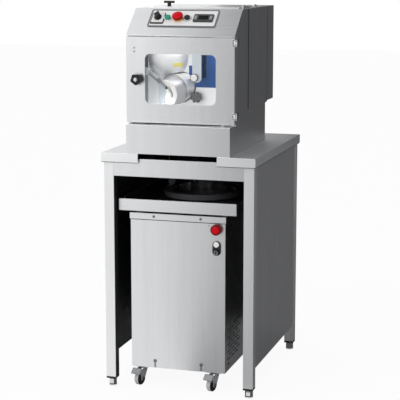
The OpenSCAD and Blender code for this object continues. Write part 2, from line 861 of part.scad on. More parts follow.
module door_knuckles() color(bright) placed() {
    leaf_w = 7;
    leaf_t = 2.5;
    bore = hinge_pin_d + 2 * run_gap;
    for (z = [hinge_low, hinge_high]) difference() {
        union() {
            translate([cheek_x - leaf_w, door_setback - leaf_t, z - hinge_h / 2])
                cube([leaf_w, leaf_t, hinge_h]);
            translate([cheek_x - leaf_t, hinge_y, z - hinge_h / 4])
                cube([hinge_x - cheek_x + leaf_t, door_setback - hinge_y, hinge_h / 2]);
            translate([hinge_x, hinge_y, z - hinge_h / 4]) cylinder(d = knuckle_d, h = hinge_h / 2);
        }
        translate([hinge_x, hinge_y, z - hinge_h]) cylinder(d = bore, h = 2 * hinge_h);
    }
}

module hinge_leaves() color(bright) placed() {
    leaf_t = 3;
    pad_y = cheek_start + 3;
    pad_l = 26;
    knuckle_h = hinge_h / 4 - part_gap;
    for (z = [hinge_low, hinge_high]) {
        translate([hinge_x, hinge_y, z - hinge_h / 2]) cylinder(d = hinge_pin_d, h = hinge_h);
        translate([cheek_x, pad_y, z - hinge_h / 2]) cube([leaf_t, pad_l, hinge_h]);
        for (low = [z - hinge_h / 2, z + hinge_h / 2 - knuckle_h]) {
            translate([hinge_x, hinge_y, low]) cylinder(d = knuckle_d, h = knuckle_h);
            translate([cheek_x + part_gap, hinge_y, low])
                cube([leaf_t - part_gap, pad_y - hinge_y, knuckle_h]);
        }
    }
}

module star_knob() color(black) placed() translate([star_x, 0, star_z]) {
    knob_y = door_setback - part_gap - star_neck;
    translate([0, knob_y - star_h, 0]) standing(star_h) rounded_polygon(5, star_d, 6);
    rod_y(20, knob_y, door_setback - part_gap);
    rod_y(15, knob_y - star_h - 3, knob_y);
    rod_y(star_stud_d, knob_y, catch_y - catch_gap);
}

module lid() color(steel) placed() {
    difference() {
        translate([lid_x0, lid_y0, top_z]) cube([lid_x1 - lid_x0, lid_y1 - lid_y0, lid_h]);
        translate([lid_x0 + sheet, lid_y0 + sheet, top_z - eps])
            cube([lid_x1 - lid_x0 - 2 * sheet, lid_y1 - lid_y0 - 2 * sheet, lid_h + eps - sheet]);
    }
    for (y = lid_knuckle_places()) difference() {
        union() {
            translate([lid_x1 - sheet, y[1], top_z + lid_h / 2])
                cube([lid_axis_x - lid_x1 + sheet, lid_knuckle_l, lid_h / 2]);
            translate([lid_axis_x, 0, lid_axis_z]) rod_y(lid_knuckle_d, y[1], y[1] + lid_knuckle_l);
        }
        translate([lid_axis_x, 0, lid_axis_z])
            rod_y(lid_pin_d + 2 * run_gap, y[1] - eps, y[1] + lid_knuckle_l + eps);
    }
}

module t_handle() color(black) placed() translate([handle_x, handle_y, top_z + lid_h]) {
    cylinder(d = handle_d + 5, h = handle_h - handle_d / 2);
    translate([-handle_w / 2, 0, handle_h - handle_d / 2]) rotate([0, 90, 0])
        cylinder(d = handle_d, h = handle_w);
}

module control_panel() color(white) placed() difference() {
    on_slope(panel_x, panel_s) {
        linear_extrude(panel_t) difference() {
            round_rect(panel_w, panel_h, 8);
            round_rect(panel_w - 2 * panel_border, panel_h - 2 * panel_border, 5);
        }
        linear_extrude(plate_t) round_rect(panel_w - 2 * panel_border, panel_h - 2 * panel_border, 5);
    }
    control_holes(eps);
}

// A push button's ring with its threaded shank, seen from the panel's face
module button_ring(ring) difference() {
    union() {
        cylinder(d = ring, h = ring_h);
        translate([0, 0, -shank_l]) cylinder(d = shank_d, h = shank_l);
    }
    translate([0, 0, ring_floor]) cylinder(d = button_d + 2 * slide_gap, h = ring_h);
    translate([0, 0, -shank_l - eps]) cylinder(d = stem_d + 2 * run_gap, h = shank_l + ring_floor + 2 * eps);
}

// A push button's cap with its stem, standing a little over its travel above the panel's face
module button_cap() {
    lift = ring_floor + button_travel + part_gap;
    translate([0, 0, lift]) cylinder(d = button_d, h = cap_h);
    translate([0, 0, -shank_l + button_travel + eps])
        cylinder(d = stem_d, h = shank_l - button_travel - eps + lift);
}

// An emergency stop's collar with its shank
module stop_collar() difference() {
    union() {
        cylinder(d = collar_d, h = collar_h);
        translate([0, 0, -shank_l]) cylinder(d = shank_d, h = shank_l);
    }
    translate([0, 0, -shank_l - eps])
        cylinder(d = stop_stem_d + 2 * run_gap, h = shank_l + collar_h + 2 * eps);
}

// An emergency stop's mushroom head with its stem
module mushroom() {
    lift = collar_h + stop_travel + part_gap;
    rim_h = 6;
    dome_h = 6;
    dome_r = (pow(stop_d / 2, 2) + pow(dome_h, 2)) / (2 * dome_h);
    translate([0, 0, -shank_l + stop_travel + eps])
        cylinder(d = stop_stem_d, h = shank_l - stop_travel - eps + lift);
    translate([0, 0, lift]) cylinder(d = stop_d, h = rim_h);
    translate([0, 0, lift + rim_h]) rotate_extrude() intersection() {
        translate([0, dome_h - dome_r]) circle(dome_r, $fn = 96);
        square([stop_d, dome_h]);
    }
}

module control_rings() color(bright) placed() {
    on_slope(start_x, row_s) translate([0, 0, plate_t]) button_ring(ring_d);
    on_slope(reset_x, row_s) translate([0, 0, plate_t]) button_ring(ring_d);
    on_slope(stop_x, row_s) translate([0, 0, plate_t]) stop_collar();
    on_slope(switch_x, row_s) translate([0, 0, plate_t]) difference() {
        union() {
            linear_extrude(switch_t) round_rect(switch_w, switch_h, 3);
            translate([0, 0, -shank_l]) cylinder(d = shank_d, h = shank_l);
        }
        translate([0, 0, -shank_l - eps])
            cylinder(d = switch_shaft_d + 2 * run_gap, h = shank_l + switch_t + 2 * eps);
    }
}

module switch_knob() color(black) placed() on_slope(switch_x, row_s) translate([0, 0, plate_t + switch_t]) {
    base_d = 28;
    base_h = 4;
    grip_l = 36;
    grip_w = 24;
    grip_h = 18;
    translate([0, 0, part_gap]) cylinder(d = base_d, h = base_h);
    translate([0, 0, base_h]) linear_extrude(grip_h - base_h) polygon([
        [grip_w / 2, 0],
        [0, grip_l / 2],
        [-grip_w / 2, 0],
        [0, -grip_l / 2]
    ]);
    translate([0, 0, -switch_t - shank_l + eps])
        cylinder(d = switch_shaft_d, h = switch_t + shank_l - eps + base_h);
}

module start_button() color(green) placed() on_slope(start_x, row_s) translate([0, 0, plate_t]) button_cap();
module reset_button() color(black) placed() on_slope(reset_x, row_s) translate([0, 0, plate_t]) button_cap();
module stop_head() color(red) placed() on_slope(stop_x, row_s) translate([0, 0, plate_t]) mushroom();

module controller() color(black) placed() on_slope(controller_x, row_s)
    translate([0, 0, plate_t]) difference() {
    union() {
        linear_extrude(controller_t) round_rect(controller_w, controller_h, 3);
        translate([-controller_w / 2 + 3, -controller_h / 2 + 3, -controller_depth])
            cube([controller_w - 6, controller_h - 6, controller_depth]);
    }
    for (x = [-key_off, key_off]) translate([x - key_w / 2, -key_h / 2, controller_t - 4])
        cube([key_w, key_h, 4 + eps]);
}

// One key of the controller in its pocket
module controller_key(x) color(grey) placed() on_slope(controller_x + x, row_s) {
    lift = plate_t + controller_t - 4 + key_travel + part_gap;
    translate([-key_w / 2 + slide_gap, -key_h / 2 + slide_gap, lift])
        cube([key_w - 2 * slide_gap, key_h - 2 * slide_gap, 4]);
}
module key_left() controller_key(-key_off);
module key_right() controller_key(key_off);

module chassis() color(steel) placed() on_trolley() {
    half = cabinet_w / 2;
    post = 16;
    in_x = half - sheet;
    translate([-in_x, sheet, cabinet_lift]) cube([2 * in_x, cabinet_d - 2 * sheet, floor_t]);
    for (x = [-in_x, in_x - post], y = [sheet, cabinet_d - sheet - post])
        translate([x, y, cabinet_lift]) cube([post, post, rim_top - cabinet_lift]);
    difference() {
        translate([-half - rim_t, -rim_t, cabinet_top])
            cube([cabinet_w + 2 * rim_t, cabinet_d + 2 * rim_t, rim_h]);
        translate([-in_x + post, sheet + post, cabinet_top - eps])
            cube([2 * (in_x - post), cabinet_d - 2 * (sheet + post), rim_h + 2 * eps]);
    }
    for (x = [-castor_x, castor_x]) {
        translate([x + castor_shift, castor_front, 0]) difference() {
            translate([-castor_plate / 2, -castor_plate / 2 + 6, cabinet_lift - castor_plate_t])
                cube([castor_plate, castor_plate - 6, castor_plate_t]);
            translate([0, 0, cabinet_lift - castor_plate_t - eps])
                cylinder(d = pivot_d + 2 * run_gap, h = castor_plate_t - 1 + eps);
        }
        translate([x + castor_shift, castor_rear, 0]) rigid_fork();
    }
}

// A rear castor's rigid fork with its axle, under the cabinet's floor
module rigid_fork() {
    cheek_w = 24;
    gap = wheel_w / 2 + 1;
    translate([-castor_plate / 2, -castor_plate / 2, cabinet_lift - castor_plate_t])
        cube([castor_plate, castor_plate, castor_plate_t]);
    for (x = [-gap - fork_t, gap]) translate([x, -cheek_w / 2, wheel_d / 2 - cheek_w / 4])
        cube([fork_t, cheek_w, cabinet_lift - wheel_d / 2 + cheek_w / 4 - castor_plate_t / 2]);
    translate([-gap - fork_t, 0, wheel_d / 2]) rotate([0, 90, 0])
        cylinder(d = axle_d, h = 2 * (gap + fork_t));
}

module cabinet_shell() color(steel) placed() on_trolley() {
    half = cabinet_w / 2;
    slot_l = 42;
    slot_h = 5;
    slot_pitch = 14;
    rows = 10;
    louvre_y = 36;
    louvre_z = cabinet_lift + 42;
    difference() {
        translate([-half, sheet, cabinet_lift]) cube([cabinet_w, cabinet_d - sheet, cabinet_h]);
        translate([-half + sheet, -eps, cabinet_lift - eps])
            cube([cabinet_w - 2 * sheet, cabinet_d + eps - sheet, cabinet_h + 2 * eps]);
        for (r = [0 : rows - 1], c = [0 : 2])
            translate([-half - eps, louvre_y + c * 56 + (r % 2) * 22, louvre_z + r * slot_pitch])
                cube([cabinet_w + 2 * eps, slot_l, slot_h]);
    }
}

module front_cover() color(steel) placed() on_trolley() {
    half = cabinet_w / 2;
    lamp_x = cabinet_w / 2 - 63;
    lamp_z = cabinet_top - 12;
    lamp_d = 4;
    difference() {
        translate([-half, 0, cabinet_lift]) cube([cabinet_w, sheet, cabinet_h]);
        for (x = [-cover_screw_x, cover_screw_x]) {
            translate([x - cover_slot / 2, -eps, cabinet_lift - eps])
                cube([cover_slot, sheet + 2 * eps, cover_slot_h + eps]);
            translate([x, 0, cabinet_lift + cover_slot_h]) rod_y(2 * cover_slot, -eps, sheet + eps);
        }
        translate([station_x, 0, stop_z]) rod_y(mount_hole_d, -eps, sheet + eps);
        for (z = [-station_pitch / 2, station_pitch / 2])
            translate([station_x, 0, station_z + z]) rod_y(mount_hole_d, -eps, sheet + eps);
        translate([lamp_x, 0, lamp_z]) rod_y(lamp_d, -eps, sheet + eps);
    }
}

module tray() color(steel) placed() on_trolley() {
    half = tray_span / 2;
    mount_w = 24;
    mount_y = 72;
    mount_x = cabinet_w / 2 - 14;
    difference() {
        translate([-half, -tray_over, tray_z]) cube([tray_span, tray_d, tray_h]);
        translate([-half + sheet, -tray_over + sheet, tray_floor_z + sheet])
            cube([tray_span - 2 * sheet, tray_d - 2 * sheet, tray_h]);
        translate([-half + sheet, -tray_over + sheet, tray_z - eps])
            cube([tray_span - 2 * sheet, tray_d - 2 * sheet, tray_floor_z - tray_z + eps]);
        translate([0, cabinet_d / 2, tray_z]) cylinder(d = bowl_hub_d + 4, h = tray_h);
    }
    for (x = [-mount_x, mount_x], y = [mount_y, cabinet_d - mount_y])
        translate([x - mount_w / 2, y - mount_w / 2, rim_top])
            cube([mount_w, mount_w, tray_floor_z - rim_top]);
}

module bowl() color(black) placed() on_trolley() translate([0, cabinet_d / 2, 0]) {
    difference() {
        translate([0, 0, bowl_z]) cylinder(d = bowl_d, h = bowl_h, $fn = 96);
        translate([0, 0, bowl_z + bowl_floor]) cylinder(d = bowl_d - 2 * bowl_wall, h = bowl_h, $fn = 96);
    }
    translate([0, 0, drive_plate_z + drive_plate_t + part_gap])
        cylinder(d = bowl_hub_d, h = bowl_z - drive_plate_z - drive_plate_t - part_gap);
    translate([0, 0, drive_plate_z - gearbox_h + 10])
        cylinder(d = bowl_shaft_d, h = bowl_z + bowl_floor - drive_plate_z + gearbox_h - 10);
}

module vane() color(bright) placed() on_trolley() {
    vane_z = bowl_z + bowl_floor + vane_gap;
    post_z = tray_floor_z + sheet;
    arm_h = 10;
    arm_z = post_z + post_h - arm_h;
    mid = cabinet_d / 2;
    drop_x = -sqrt(pow(vane_r + vane_t / 2, 2) - pow(post_y, 2));
    translate([0, mid, vane_z]) rotate([0, 0, 20]) rotate_extrude(angle = 210)
        translate([vane_r, 0]) square([vane_t, vane_h]);
    translate([post_x, mid + post_y, post_z]) {
        translate([-post_w / 2, -post_t / 2, 0]) cube([post_w, post_t, post_h]);
        translate([-post_w / 2, -post_w / 2, 0]) cube([post_w, post_w, sheet]);
    }
    translate([post_x - post_w / 2, mid + post_y - post_t / 2, arm_z])
        cube([drop_x + post_t / 2 - post_x + post_w / 2, post_t, arm_h]);
    translate([drop_x - post_t / 2, mid + post_y - post_t / 2, vane_z])
        cube([post_t, post_t, arm_z + arm_h - vane_z]);
}

module bowl_motor() color(grey) placed() on_trolley() translate([0, cabinet_d / 2, 0]) {
    in_x = cabinet_w / 2 - sheet;
    plate_d = 146;
    difference() {
        union() {
            translate([-in_x, -plate_d / 2, drive_plate_z]) cube([2 * in_x, plate_d, drive_plate_t]);
            translate([-gearbox_w / 2, -gearbox_w / 2, drive_plate_z - gearbox_h])
                cube([gearbox_w, gearbox_w, gearbox_h]);
            translate([0, 0, drive_plate_z - gearbox_h - bowl_motor_h])
                cylinder(d = bowl_motor_d, h = bowl_motor_h);
        }
        translate([0, 0, drive_plate_z - gearbox_h + 8])
            cylinder(d = bowl_shaft_d + 2 * run_gap, h = gearbox_h + drive_plate_t);
    }
}

module trolley_rings() color(black) placed() {
    on_cover(station_x, stop_z) stop_collar();
    on_cover(station_x, station_z) difference() {
        union() {
            linear_extrude(ring_h) round_rect(station_w, station_h, station_w / 2 - 0.5);
            for (y = [-station_pitch / 2, station_pitch / 2])
                translate([0, y, -shank_l]) cylinder(d = shank_d, h = shank_l);
        }
        for (y = [-station_pitch / 2, station_pitch / 2]) translate([0, y, 0]) {
            translate([0, 0, ring_floor]) cylinder(d = station_d + 2 * slide_gap, h = ring_h);
            translate([0, 0, -shank_l - eps])
                cylinder(d = stem_d + 2 * run_gap, h = shank_l + ring_floor + 2 * eps);
        }
    }
}

// A button of the twin push station
module station_button(y, h) {
    lift = ring_floor + button_travel + part_gap;
    on_cover(station_x, station_z + y) {
        translate([0, 0, lift]) cylinder(d = station_d, h = h);
        translate([0, 0, -shank_l + button_travel + eps])
            cylinder(d = stem_d, h = shank_l - button_travel - eps + lift);
    }
}
module trolley_stop_head() color(red) placed() on_cover(station_x, stop_z) mushroom();
module trolley_start() color(white) placed() station_button(station_pitch / 2, 4);
module trolley_reset() color(black) placed() station_button(-station_pitch / 2, 9);

// A swivel castor's frame: the pivot's axis is Z, and the wheel trails along -Y
module at_castor(side) on_trolley() translate([side * castor_x + castor_shift, castor_front, 0])
    rotate([0, 0, -castor_turn]) children();

module swivel_fork(side) color(grey) placed() at_castor(side) {
    head_z = cabinet_lift - castor_plate_t - part_gap - head_t;
    cheek_w = 22;
    gap = wheel_w / 2 + 1;
    translate([0, 0, head_z]) cylinder(d = head_d, h = head_t);
    translate([0, 0, head_z]) cylinder(d = pivot_d, h = head_t + part_gap + castor_plate_t - 1.5);
    for (x = [-gap - fork_t, gap]) translate([x, 0, 0]) sideways(fork_t) polygon([
        [cheek_w / 2, head_z + 1],
        [-wheel_trail + cheek_w / 2, wheel_d / 2 - cheek_w / 3],
        [-wheel_trail - cheek_w / 3, wheel_d / 2 - cheek_w / 3],
        [-pedal_reach - 8, pedal_z + 4],
        [-cheek_w / 2, head_z + 1]
    ]);
    translate([-gap - fork_t, -wheel_trail, wheel_d / 2]) rotate([0, 90, 0])
        cylinder(d = axle_d, h = 2 * (gap + fork_t));
    translate([-gap - fork_t, -pedal_reach, pedal_z]) rotate([0, 90, 0])
        cylinder(d = pedal_pin_d, h = 2 * (gap + fork_t));
}
module fork_left() swivel_fork(-1);
module fork_right() swivel_fork(1);

// A castor wheel about its axle, which lies along X
module castor_wheel() rotate([0, 90, 0]) rotate_extrude() polygon([
    [axle_d / 2 + run_gap, -wheel_w / 2],
    [wheel_d / 2 - 3, -wheel_w / 2],
    [wheel_d / 2, -wheel_w / 2 + 3],
    [wheel_d / 2, wheel_w / 2 - 3],
    [wheel_d / 2 - 3, wheel_w / 2],
    [axle_d / 2 + run_gap, wheel_w / 2]
]);
module wheel_front_left() color(grey) placed() at_castor(-1) translate([0, -wheel_trail, wheel_d / 2])
    castor_wheel();
module wheel_front_right() color(grey) placed() at_castor(1) translate([0, -wheel_trail, wheel_d / 2])
    castor_wheel();
module wheel_rear_left() color(grey) placed() on_trolley()
    translate([-castor_x + castor_shift, castor_rear, wheel_d / 2]) castor_wheel();
module wheel_rear_right() color(grey) placed() on_trolley()
    translate([castor_x + castor_shift, castor_rear, wheel_d / 2]) castor_wheel();

module brake_pedal(side) color(grey) placed() at_castor(side) translate([0, -pedal_reach, pedal_z]) {
    arm_w = 2 * (wheel_w / 2 + 1) - 1;
    arm_l = 23;
    arm_t = 3;
    tread_w = wheel_w + 16;
    tread_t = 2.5;
    eye_d = pedal_pin_d + 4;
    difference() {
        union() {
            translate([-arm_w / 2, 0, 0]) rotate([0, 90, 0]) cylinder(d = eye_d, h = arm_w);
            translate([-arm_w / 2, -arm_l, eye_d / 2 - arm_t]) cube([arm_w, arm_l, arm_t]);
        }
        translate([-arm_w, 0, 0]) rotate([0, 90, 0])
            cylinder(d = pedal_pin_d + 2 * run_gap, h = 2 * arm_w);
    }
    difference() {
        translate([-tread_w / 2, 0, 0]) sideways(tread_w) polygon([
            [-11, 11.5], [-17, 11], [-30, -4], [-28, -8.5], [-20, -8.5], [-11.5, -5]
        ]);
        translate([-tread_w / 2 + tread_t, 0, 0]) sideways(tread_w - 2 * tread_t) polygon([
            [-10, 8.9], [-15.8, 8.6], [-27, -4.3], [-26.5, -9.5], [-10, -9.5]
        ]);
    }
}
module pedal_left() brake_pedal(-1);
module pedal_right() brake_pedal(1);

table_top();
legs();
leg_plugs();
foot_front_left();
foot_front_right();
foot_rear_left();
foot_rear_right();
stand_panels();
plinth();
cheeks();
fascia();
top_cover();
rear_hood();
bulkhead();
drop_chute();
hopper();
barrel();
nozzle();
auger_shaft();
auger_flight();
auger_motor();
knife();
knife_motor();
clamp_arm();
nozzle_knob();
door_panel();
window_pane();
door_knuckles();
hinge_leaves();
star_knob();
lid();
t_handle();
control_panel();
control_rings();
switch_knob();
start_button();
stop_head();
reset_button();
controller();
key_left();
key_right();
chassis();
cabinet_shell();
front_cover();
tray();
bowl();
vane();
bowl_motor();
trolley_rings();
trolley_stop_head();
trolley_start();
trolley_reset();
fork_left();
fork_right();
wheel_front_left();
wheel_front_right();
wheel_rear_left();
wheel_rear_right();
pedal_left();
pedal_right();
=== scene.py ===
"""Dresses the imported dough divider.

Every sheet, knob and wheel gets its finish, and the small fittings that the solids leave out are added.
"""

import json
import math

import bpy
from mathutils import Matrix, Vector


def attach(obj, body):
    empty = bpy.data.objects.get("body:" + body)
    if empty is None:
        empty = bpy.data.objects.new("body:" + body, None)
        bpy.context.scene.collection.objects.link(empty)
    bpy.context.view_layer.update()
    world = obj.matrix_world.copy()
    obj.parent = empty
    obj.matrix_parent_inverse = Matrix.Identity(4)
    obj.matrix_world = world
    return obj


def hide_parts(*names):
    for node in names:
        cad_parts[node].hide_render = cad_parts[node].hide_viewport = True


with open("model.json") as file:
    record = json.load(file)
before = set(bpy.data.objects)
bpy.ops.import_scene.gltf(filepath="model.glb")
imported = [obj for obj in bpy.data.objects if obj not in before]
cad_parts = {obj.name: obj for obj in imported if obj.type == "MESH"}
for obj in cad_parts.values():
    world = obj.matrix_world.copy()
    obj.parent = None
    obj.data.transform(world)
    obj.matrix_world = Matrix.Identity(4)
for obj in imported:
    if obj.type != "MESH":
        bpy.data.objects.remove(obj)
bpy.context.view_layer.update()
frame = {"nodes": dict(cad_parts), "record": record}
scene = bpy.context.scene

# Lengths are written in millimetres, and mm turns them to metres.
# The part's frame has its origin on the floor under the middle of the table.
mm = 0.001
table_depth = 730
front_edge = -table_depth / 2 * mm

# Camera, at the photograph's viewing angle
camera_data = bpy.data.cameras.new("camera")
camera_data.sensor_width = 36
camera_data.lens = 121.9
camera = bpy.data.objects.new("camera", camera_data)
camera.location = (1.4873, -5.0158, 1.6049)
camera_dip, camera_turn = 10.085, 16.743
camera.rotation_euler = (math.radians(90 - camera_dip), 0, math.radians(camera_turn))
scene.collection.objects.link(camera)
scene.camera = camera
scene.view_settings.view_transform = "Standard"


def colour(code):
    """An sRGB hex code as a linear colour."""
    channels = [int(code[i:i + 2], 16) / 255 for i in (0, 2, 4)]
    return tuple(c / 12.92 if c <= 0.04045 else ((c + 0.055) / 1.055) ** 2.4 for c in channels) + (1.0,)


def add_node(tree, kind, sockets=None, **properties):
    """Adds a node with its properties, and sets or links its input sockets."""
    node = tree.nodes.new(kind)
    for name, value in properties.items():
        setattr(node, name, value)
    for name, value in (sockets or {}).items():
        if isinstance(value, bpy.types.NodeSocket):
            tree.links.new(value, node.inputs[name])
        else:
            node.inputs[name].default_value = value
    return node


def blank_material(name):
    """An empty material, with its tree and its texture coordinates."""
    material = bpy.data.materials.new(name)
    material.use_nodes = True
    material.node_tree.nodes.clear()
    return material, material.node_tree, add_node(material.node_tree, "ShaderNodeTexCoord").outputs["Object"]


def brushed_stainless(name, along, tone="EBECED", streak="E0E1E3", rough=0.30):
    """Stainless sheet, belt-brushed along one axis: fine lines that soften what it mirrors."""
    material, tree, place = blank_material(name)
    # Real belt lines are about 0.2 mm apart; drawn 1.4 mm apart here, so that they show at the render's size.
    line_gap, line_run = 1.43, 333
    grain_scale = [1 / (line_gap * mm)] * 3
    grain_scale["XYZ".index(along)] = 1 / (line_run * mm)
    grain_place = add_node(tree, "ShaderNodeMapping", {"Vector": place, "Scale": grain_scale})
    grain = add_node(tree, "ShaderNodeTexNoise", {
        "Vector": grain_place.outputs[0], "Scale": 1.0, "Detail": 3.0})
    # Wide faint streaks about 30 mm apart, from uneven belt pressure
    streak_gap, streak_run = 29.4, 833
    streak_scale = [1 / (streak_gap * mm)] * 3
    streak_scale["XYZ".index(along)] = 1 / (streak_run * mm)
    streak_place = add_node(tree, "ShaderNodeMapping", {"Vector": place, "Scale": streak_scale})
    streaks = add_node(tree, "ShaderNodeTexNoise", {
        "Vector": streak_place.outputs[0], "Scale": 1.0, "Detail": 2.0})
    tint = add_node(tree, "ShaderNodeMix", {
        "Factor": streaks.outputs[0], 6: colour(tone), 7: colour(streak)}, data_type="RGBA")
    gloss = add_node(tree, "ShaderNodeMapRange", {
        "Value": grain.outputs[0], "From Min": 0.3, "From Max": 0.7,
        "To Min": rough - 0.03, "To Max": rough + 0.05})
    lines = add_node(tree, "ShaderNodeBump", {
        "Height": grain.outputs[0], "Strength": 0.026, "Distance": 0.4 * mm})
    shader = add_node(tree, "ShaderNodeBsdfPrincipled", {
        "Base Color": tint.outputs[2], "Roughness": gloss.outputs[0],
        "Normal": lines.outputs[0], "Metallic": 1.0})
    add_node(tree, "ShaderNodeOutputMaterial", {"Surface": shader.outputs[0]})
    return material


def plain_metal(name, tone, worn, rough, grain_mm, relief):
    """A metal without a brush direction, with a fine grain of the stated size."""
    material, tree, place = blank_material(name)
    grain = add_node(tree, "ShaderNodeTexNoise", {
        "Vector": place, "Scale": 1 / (grain_mm * mm), "Detail": 4.0})
    tint = add_node(tree, "ShaderNodeMix", {
        "Factor": grain.outputs[0], 6: colour(tone), 7: colour(worn)}, data_type="RGBA")
    gloss = add_node(tree, "ShaderNodeMapRange", {
        "Value": grain.outputs[0], "From Min": 0.25, "From Max": 0.75,
        "To Min": rough * 0.8, "To Max": rough * 1.25})
    bumps = add_node(tree, "ShaderNodeBump", {
        "Height": grain.outputs[0], "Strength": relief, "Distance": 0.5 * mm})
    shader = add_node(tree, "ShaderNodeBsdfPrincipled", {
        "Base Color": tint.outputs[2], "Roughness": gloss.outputs[0],
        "Normal": bumps.outputs[0], "Metallic": 1.0})
    add_node(tree, "ShaderNodeOutputMaterial", {"Surface": shader.outputs[0]})
    return material


def moulded_plastic(name, tone, worn, rough, grain_mm=0.8, relief=0.06, coat=0.0, specular=0.5):
    """A moulded plastic or paint: a fine mould grain, a little paler where it has been handled."""
    material, tree, place = blank_material(name)
    grain = add_node(tree, "ShaderNodeTexNoise", {
        "Vector": place, "Scale": 1 / (grain_mm * mm), "Detail": 3.0})
    handled_mm = 35.7
    clouds = add_node(tree, "ShaderNodeTexNoise", {
        "Vector": place, "Scale": 1 / (handled_mm * mm), "Detail": 3.0})
    tint = add_node(tree, "ShaderNodeMix", {
        "Factor": clouds.outputs[0], 6: colour(tone), 7: colour(worn)}, data_type="RGBA")
    gloss = add_node(tree, "ShaderNodeMapRange", {
        "Value": clouds.outputs[0], "From Min": 0.3, "From Max": 0.7,
        "To Min": rough * 0.85, "To Max": rough * 1.15})
    bumps = add_node(tree, "ShaderNodeBump", {
        "Height": grain.outputs[0], "Strength": relief, "Distance": 0.3 * mm})
    shader = add_node(tree, "ShaderNodeBsdfPrincipled", {
        "Base Color": tint.outputs[2], "Roughness": gloss.outputs[0], "Normal": bumps.outputs[0],
        "IOR": 1.5, "Specular IOR Level": specular, "Coat Weight": coat, "Coat Roughness": 0.08})
    add_node(tree, "ShaderNodeOutputMaterial", {"Surface": shader.outputs[0]})
    return material


def clear_acrylic():
    """Cast acrylic sheet: almost invisible face on, with a faint cool tint and a sharp gloss."""
    material, tree, place = blank_material("cast acrylic sheet")
    # Wiping leaves haze in patches about 60 mm across.
    wiped_mm = 58.8
    haze = add_node(tree, "ShaderNodeTexNoise", {
        "Vector": place, "Scale": 1 / (wiped_mm * mm), "Detail": 4.0})
    gloss = add_node(tree, "ShaderNodeMapRange", {"Value": haze.outputs[0], "To Min": 0.02, "To Max": 0.07})
    shader = add_node(tree, "ShaderNodeBsdfPrincipled", {
        "Base Color": colour("9FA6AA"), "Roughness": gloss.outputs[0], "IOR": 1.49, "Alpha": 0.03})
    add_node(tree, "ShaderNodeOutputMaterial", {"Surface": shader.outputs[0]})
    return material


steel_upright = brushed_stainless("stainless sheet brushed upright", "Z")
steel_across = brushed_stainless("stainless sheet brushed across", "X")
# The work surface is scrubbed daily, so it is duller than the sheets below it.
steel_deep = brushed_stainless("scrubbed stainless brushed front to rear", "Y", rough=0.50)
# The lips are a lighter copy of the steel: painted light on the proud edges.
steel_lip_lit = brushed_stainless("stainless lip brushed across, painted lighter as lit", "X", "F7F8F8", "EFF0F1", rough=0.40)
steel_inside = brushed_stainless("stainless sheet of the chamber", "X", "F2F3F4", "E9EAEB", rough=0.56)
# Square tube, brushed by hand after welding: a little duller than the sheets
steel_tube = brushed_stainless("stainless tube brushed upright", "Z", "F4F5F6", "ECEDEE", rough=0.42)
# Electropolished sheet: smooth and bright, with a slight orange peel
polished_steel = plain_metal(
    "electropolished stainless", "E6E7E9", "DCDDE0", rough=0.16, grain_mm=9, relief=0.05)
# Chrome plate: a near mirror
chrome = plain_metal("chrome plate", "E4E5E7", "DDDEE0", rough=0.08, grain_mm=4, relief=0.02)
# Zinc plate on pressed steel: a soft bluish grey with fine spangle
zinc = plain_metal("zinc plated steel", "C3C6C9", "A6A9AD", rough=0.34, grain_mm=3, relief=0.10)
# Dull zinc plate of screws and nuts, also painted shade inside the tray and on the chamber's left wall
dull_zinc_and_shade = plain_metal("dull zinc plate and painted shade", "8E9194", "7C7F82", rough=0.40, grain_mm=3, relief=0.10)
# Hardened blade steel: fine ground, with a cool satin face
blade_steel = plain_metal("ground blade steel", "C9D4D8", "BDC8CD", rough=0.42, grain_mm=2, relief=0.05)
# Aluminium turned on a lathe: satin grey
turned_aluminium = plain_metal("turned aluminium", "C2C3C5", "B4B5B7", rough=0.36, grain_mm=1.5, relief=0.06)
# Stainless steel, bead blasted: pale, cool and even
blasted_steel = plain_metal(
    "bead blasted stainless", "CBD3D8", "C3CBD0", rough=0.50, grain_mm=1.5, relief=0.05)
# Stainless steel, polished by hand: bright and faintly warm
buffed_steel = plain_metal("buffed stainless", "F2F1EF", "E9E8E6", rough=0.30, grain_mm=1.5, relief=0.04)
# Die-cast aluminium: matt grey with a pebbled skin
cast_metal = plain_metal("die-cast aluminium", "A9ABAD", "96989A", rough=0.48, grain_mm=1.6, relief=0.25)
# Black, half gloss: painted shade on the stand's inner faces, under the table, in the chute and on the hood's
# front edges; also the hood's dark joints
black_joint_and_shade = moulded_plastic(
    "black joint and painted shade", "0C0C0D", "121213", rough=0.60, grain_mm=1.2, relief=0.05)
# Moulded phenolic and nylon: black, satin, faintly grained; the nylon also stands in as painted shade under
# the table's lip and the trolley's rim and on the door's top face
black_nylon_and_shade = moulded_plastic("black glass-filled nylon and painted shade", "121213", "1B1B1C", rough=0.42)
black_phenolic = moulded_plastic(
    "black phenolic", "0D0D0E", "161617", rough=0.30, grain_mm=2.0, relief=0.03, specular=0.35)
# Food-grade black polyethylene, turned, with faint tool marks; its black is painted grey, as light on the
# bowl in the shade under the table
bowl_painted_lighter = moulded_plastic(
    "black polyethylene, turned, painted lighter as lit", "66666A", "707074", rough=0.54, grain_mm=1.0, relief=0.10)
# Acetal, turned from bar: bright white and waxy
white_acetal = moulded_plastic("white acetal", "F1F1EF", "E9E9E6", rough=0.36, grain_mm=1.4, relief=0.03)
# Printed polycarbonate overlay of the control panel
panel_white = moulded_plastic(
    "white panel overlay", "E9E9E8", "E3E3E3", rough=0.40, grain_mm=0.9, relief=0.04)
panel_grey = moulded_plastic(
    "dark grey panel frame", "66676A", "6F7073", rough=0.42, grain_mm=0.9, relief=0.05)
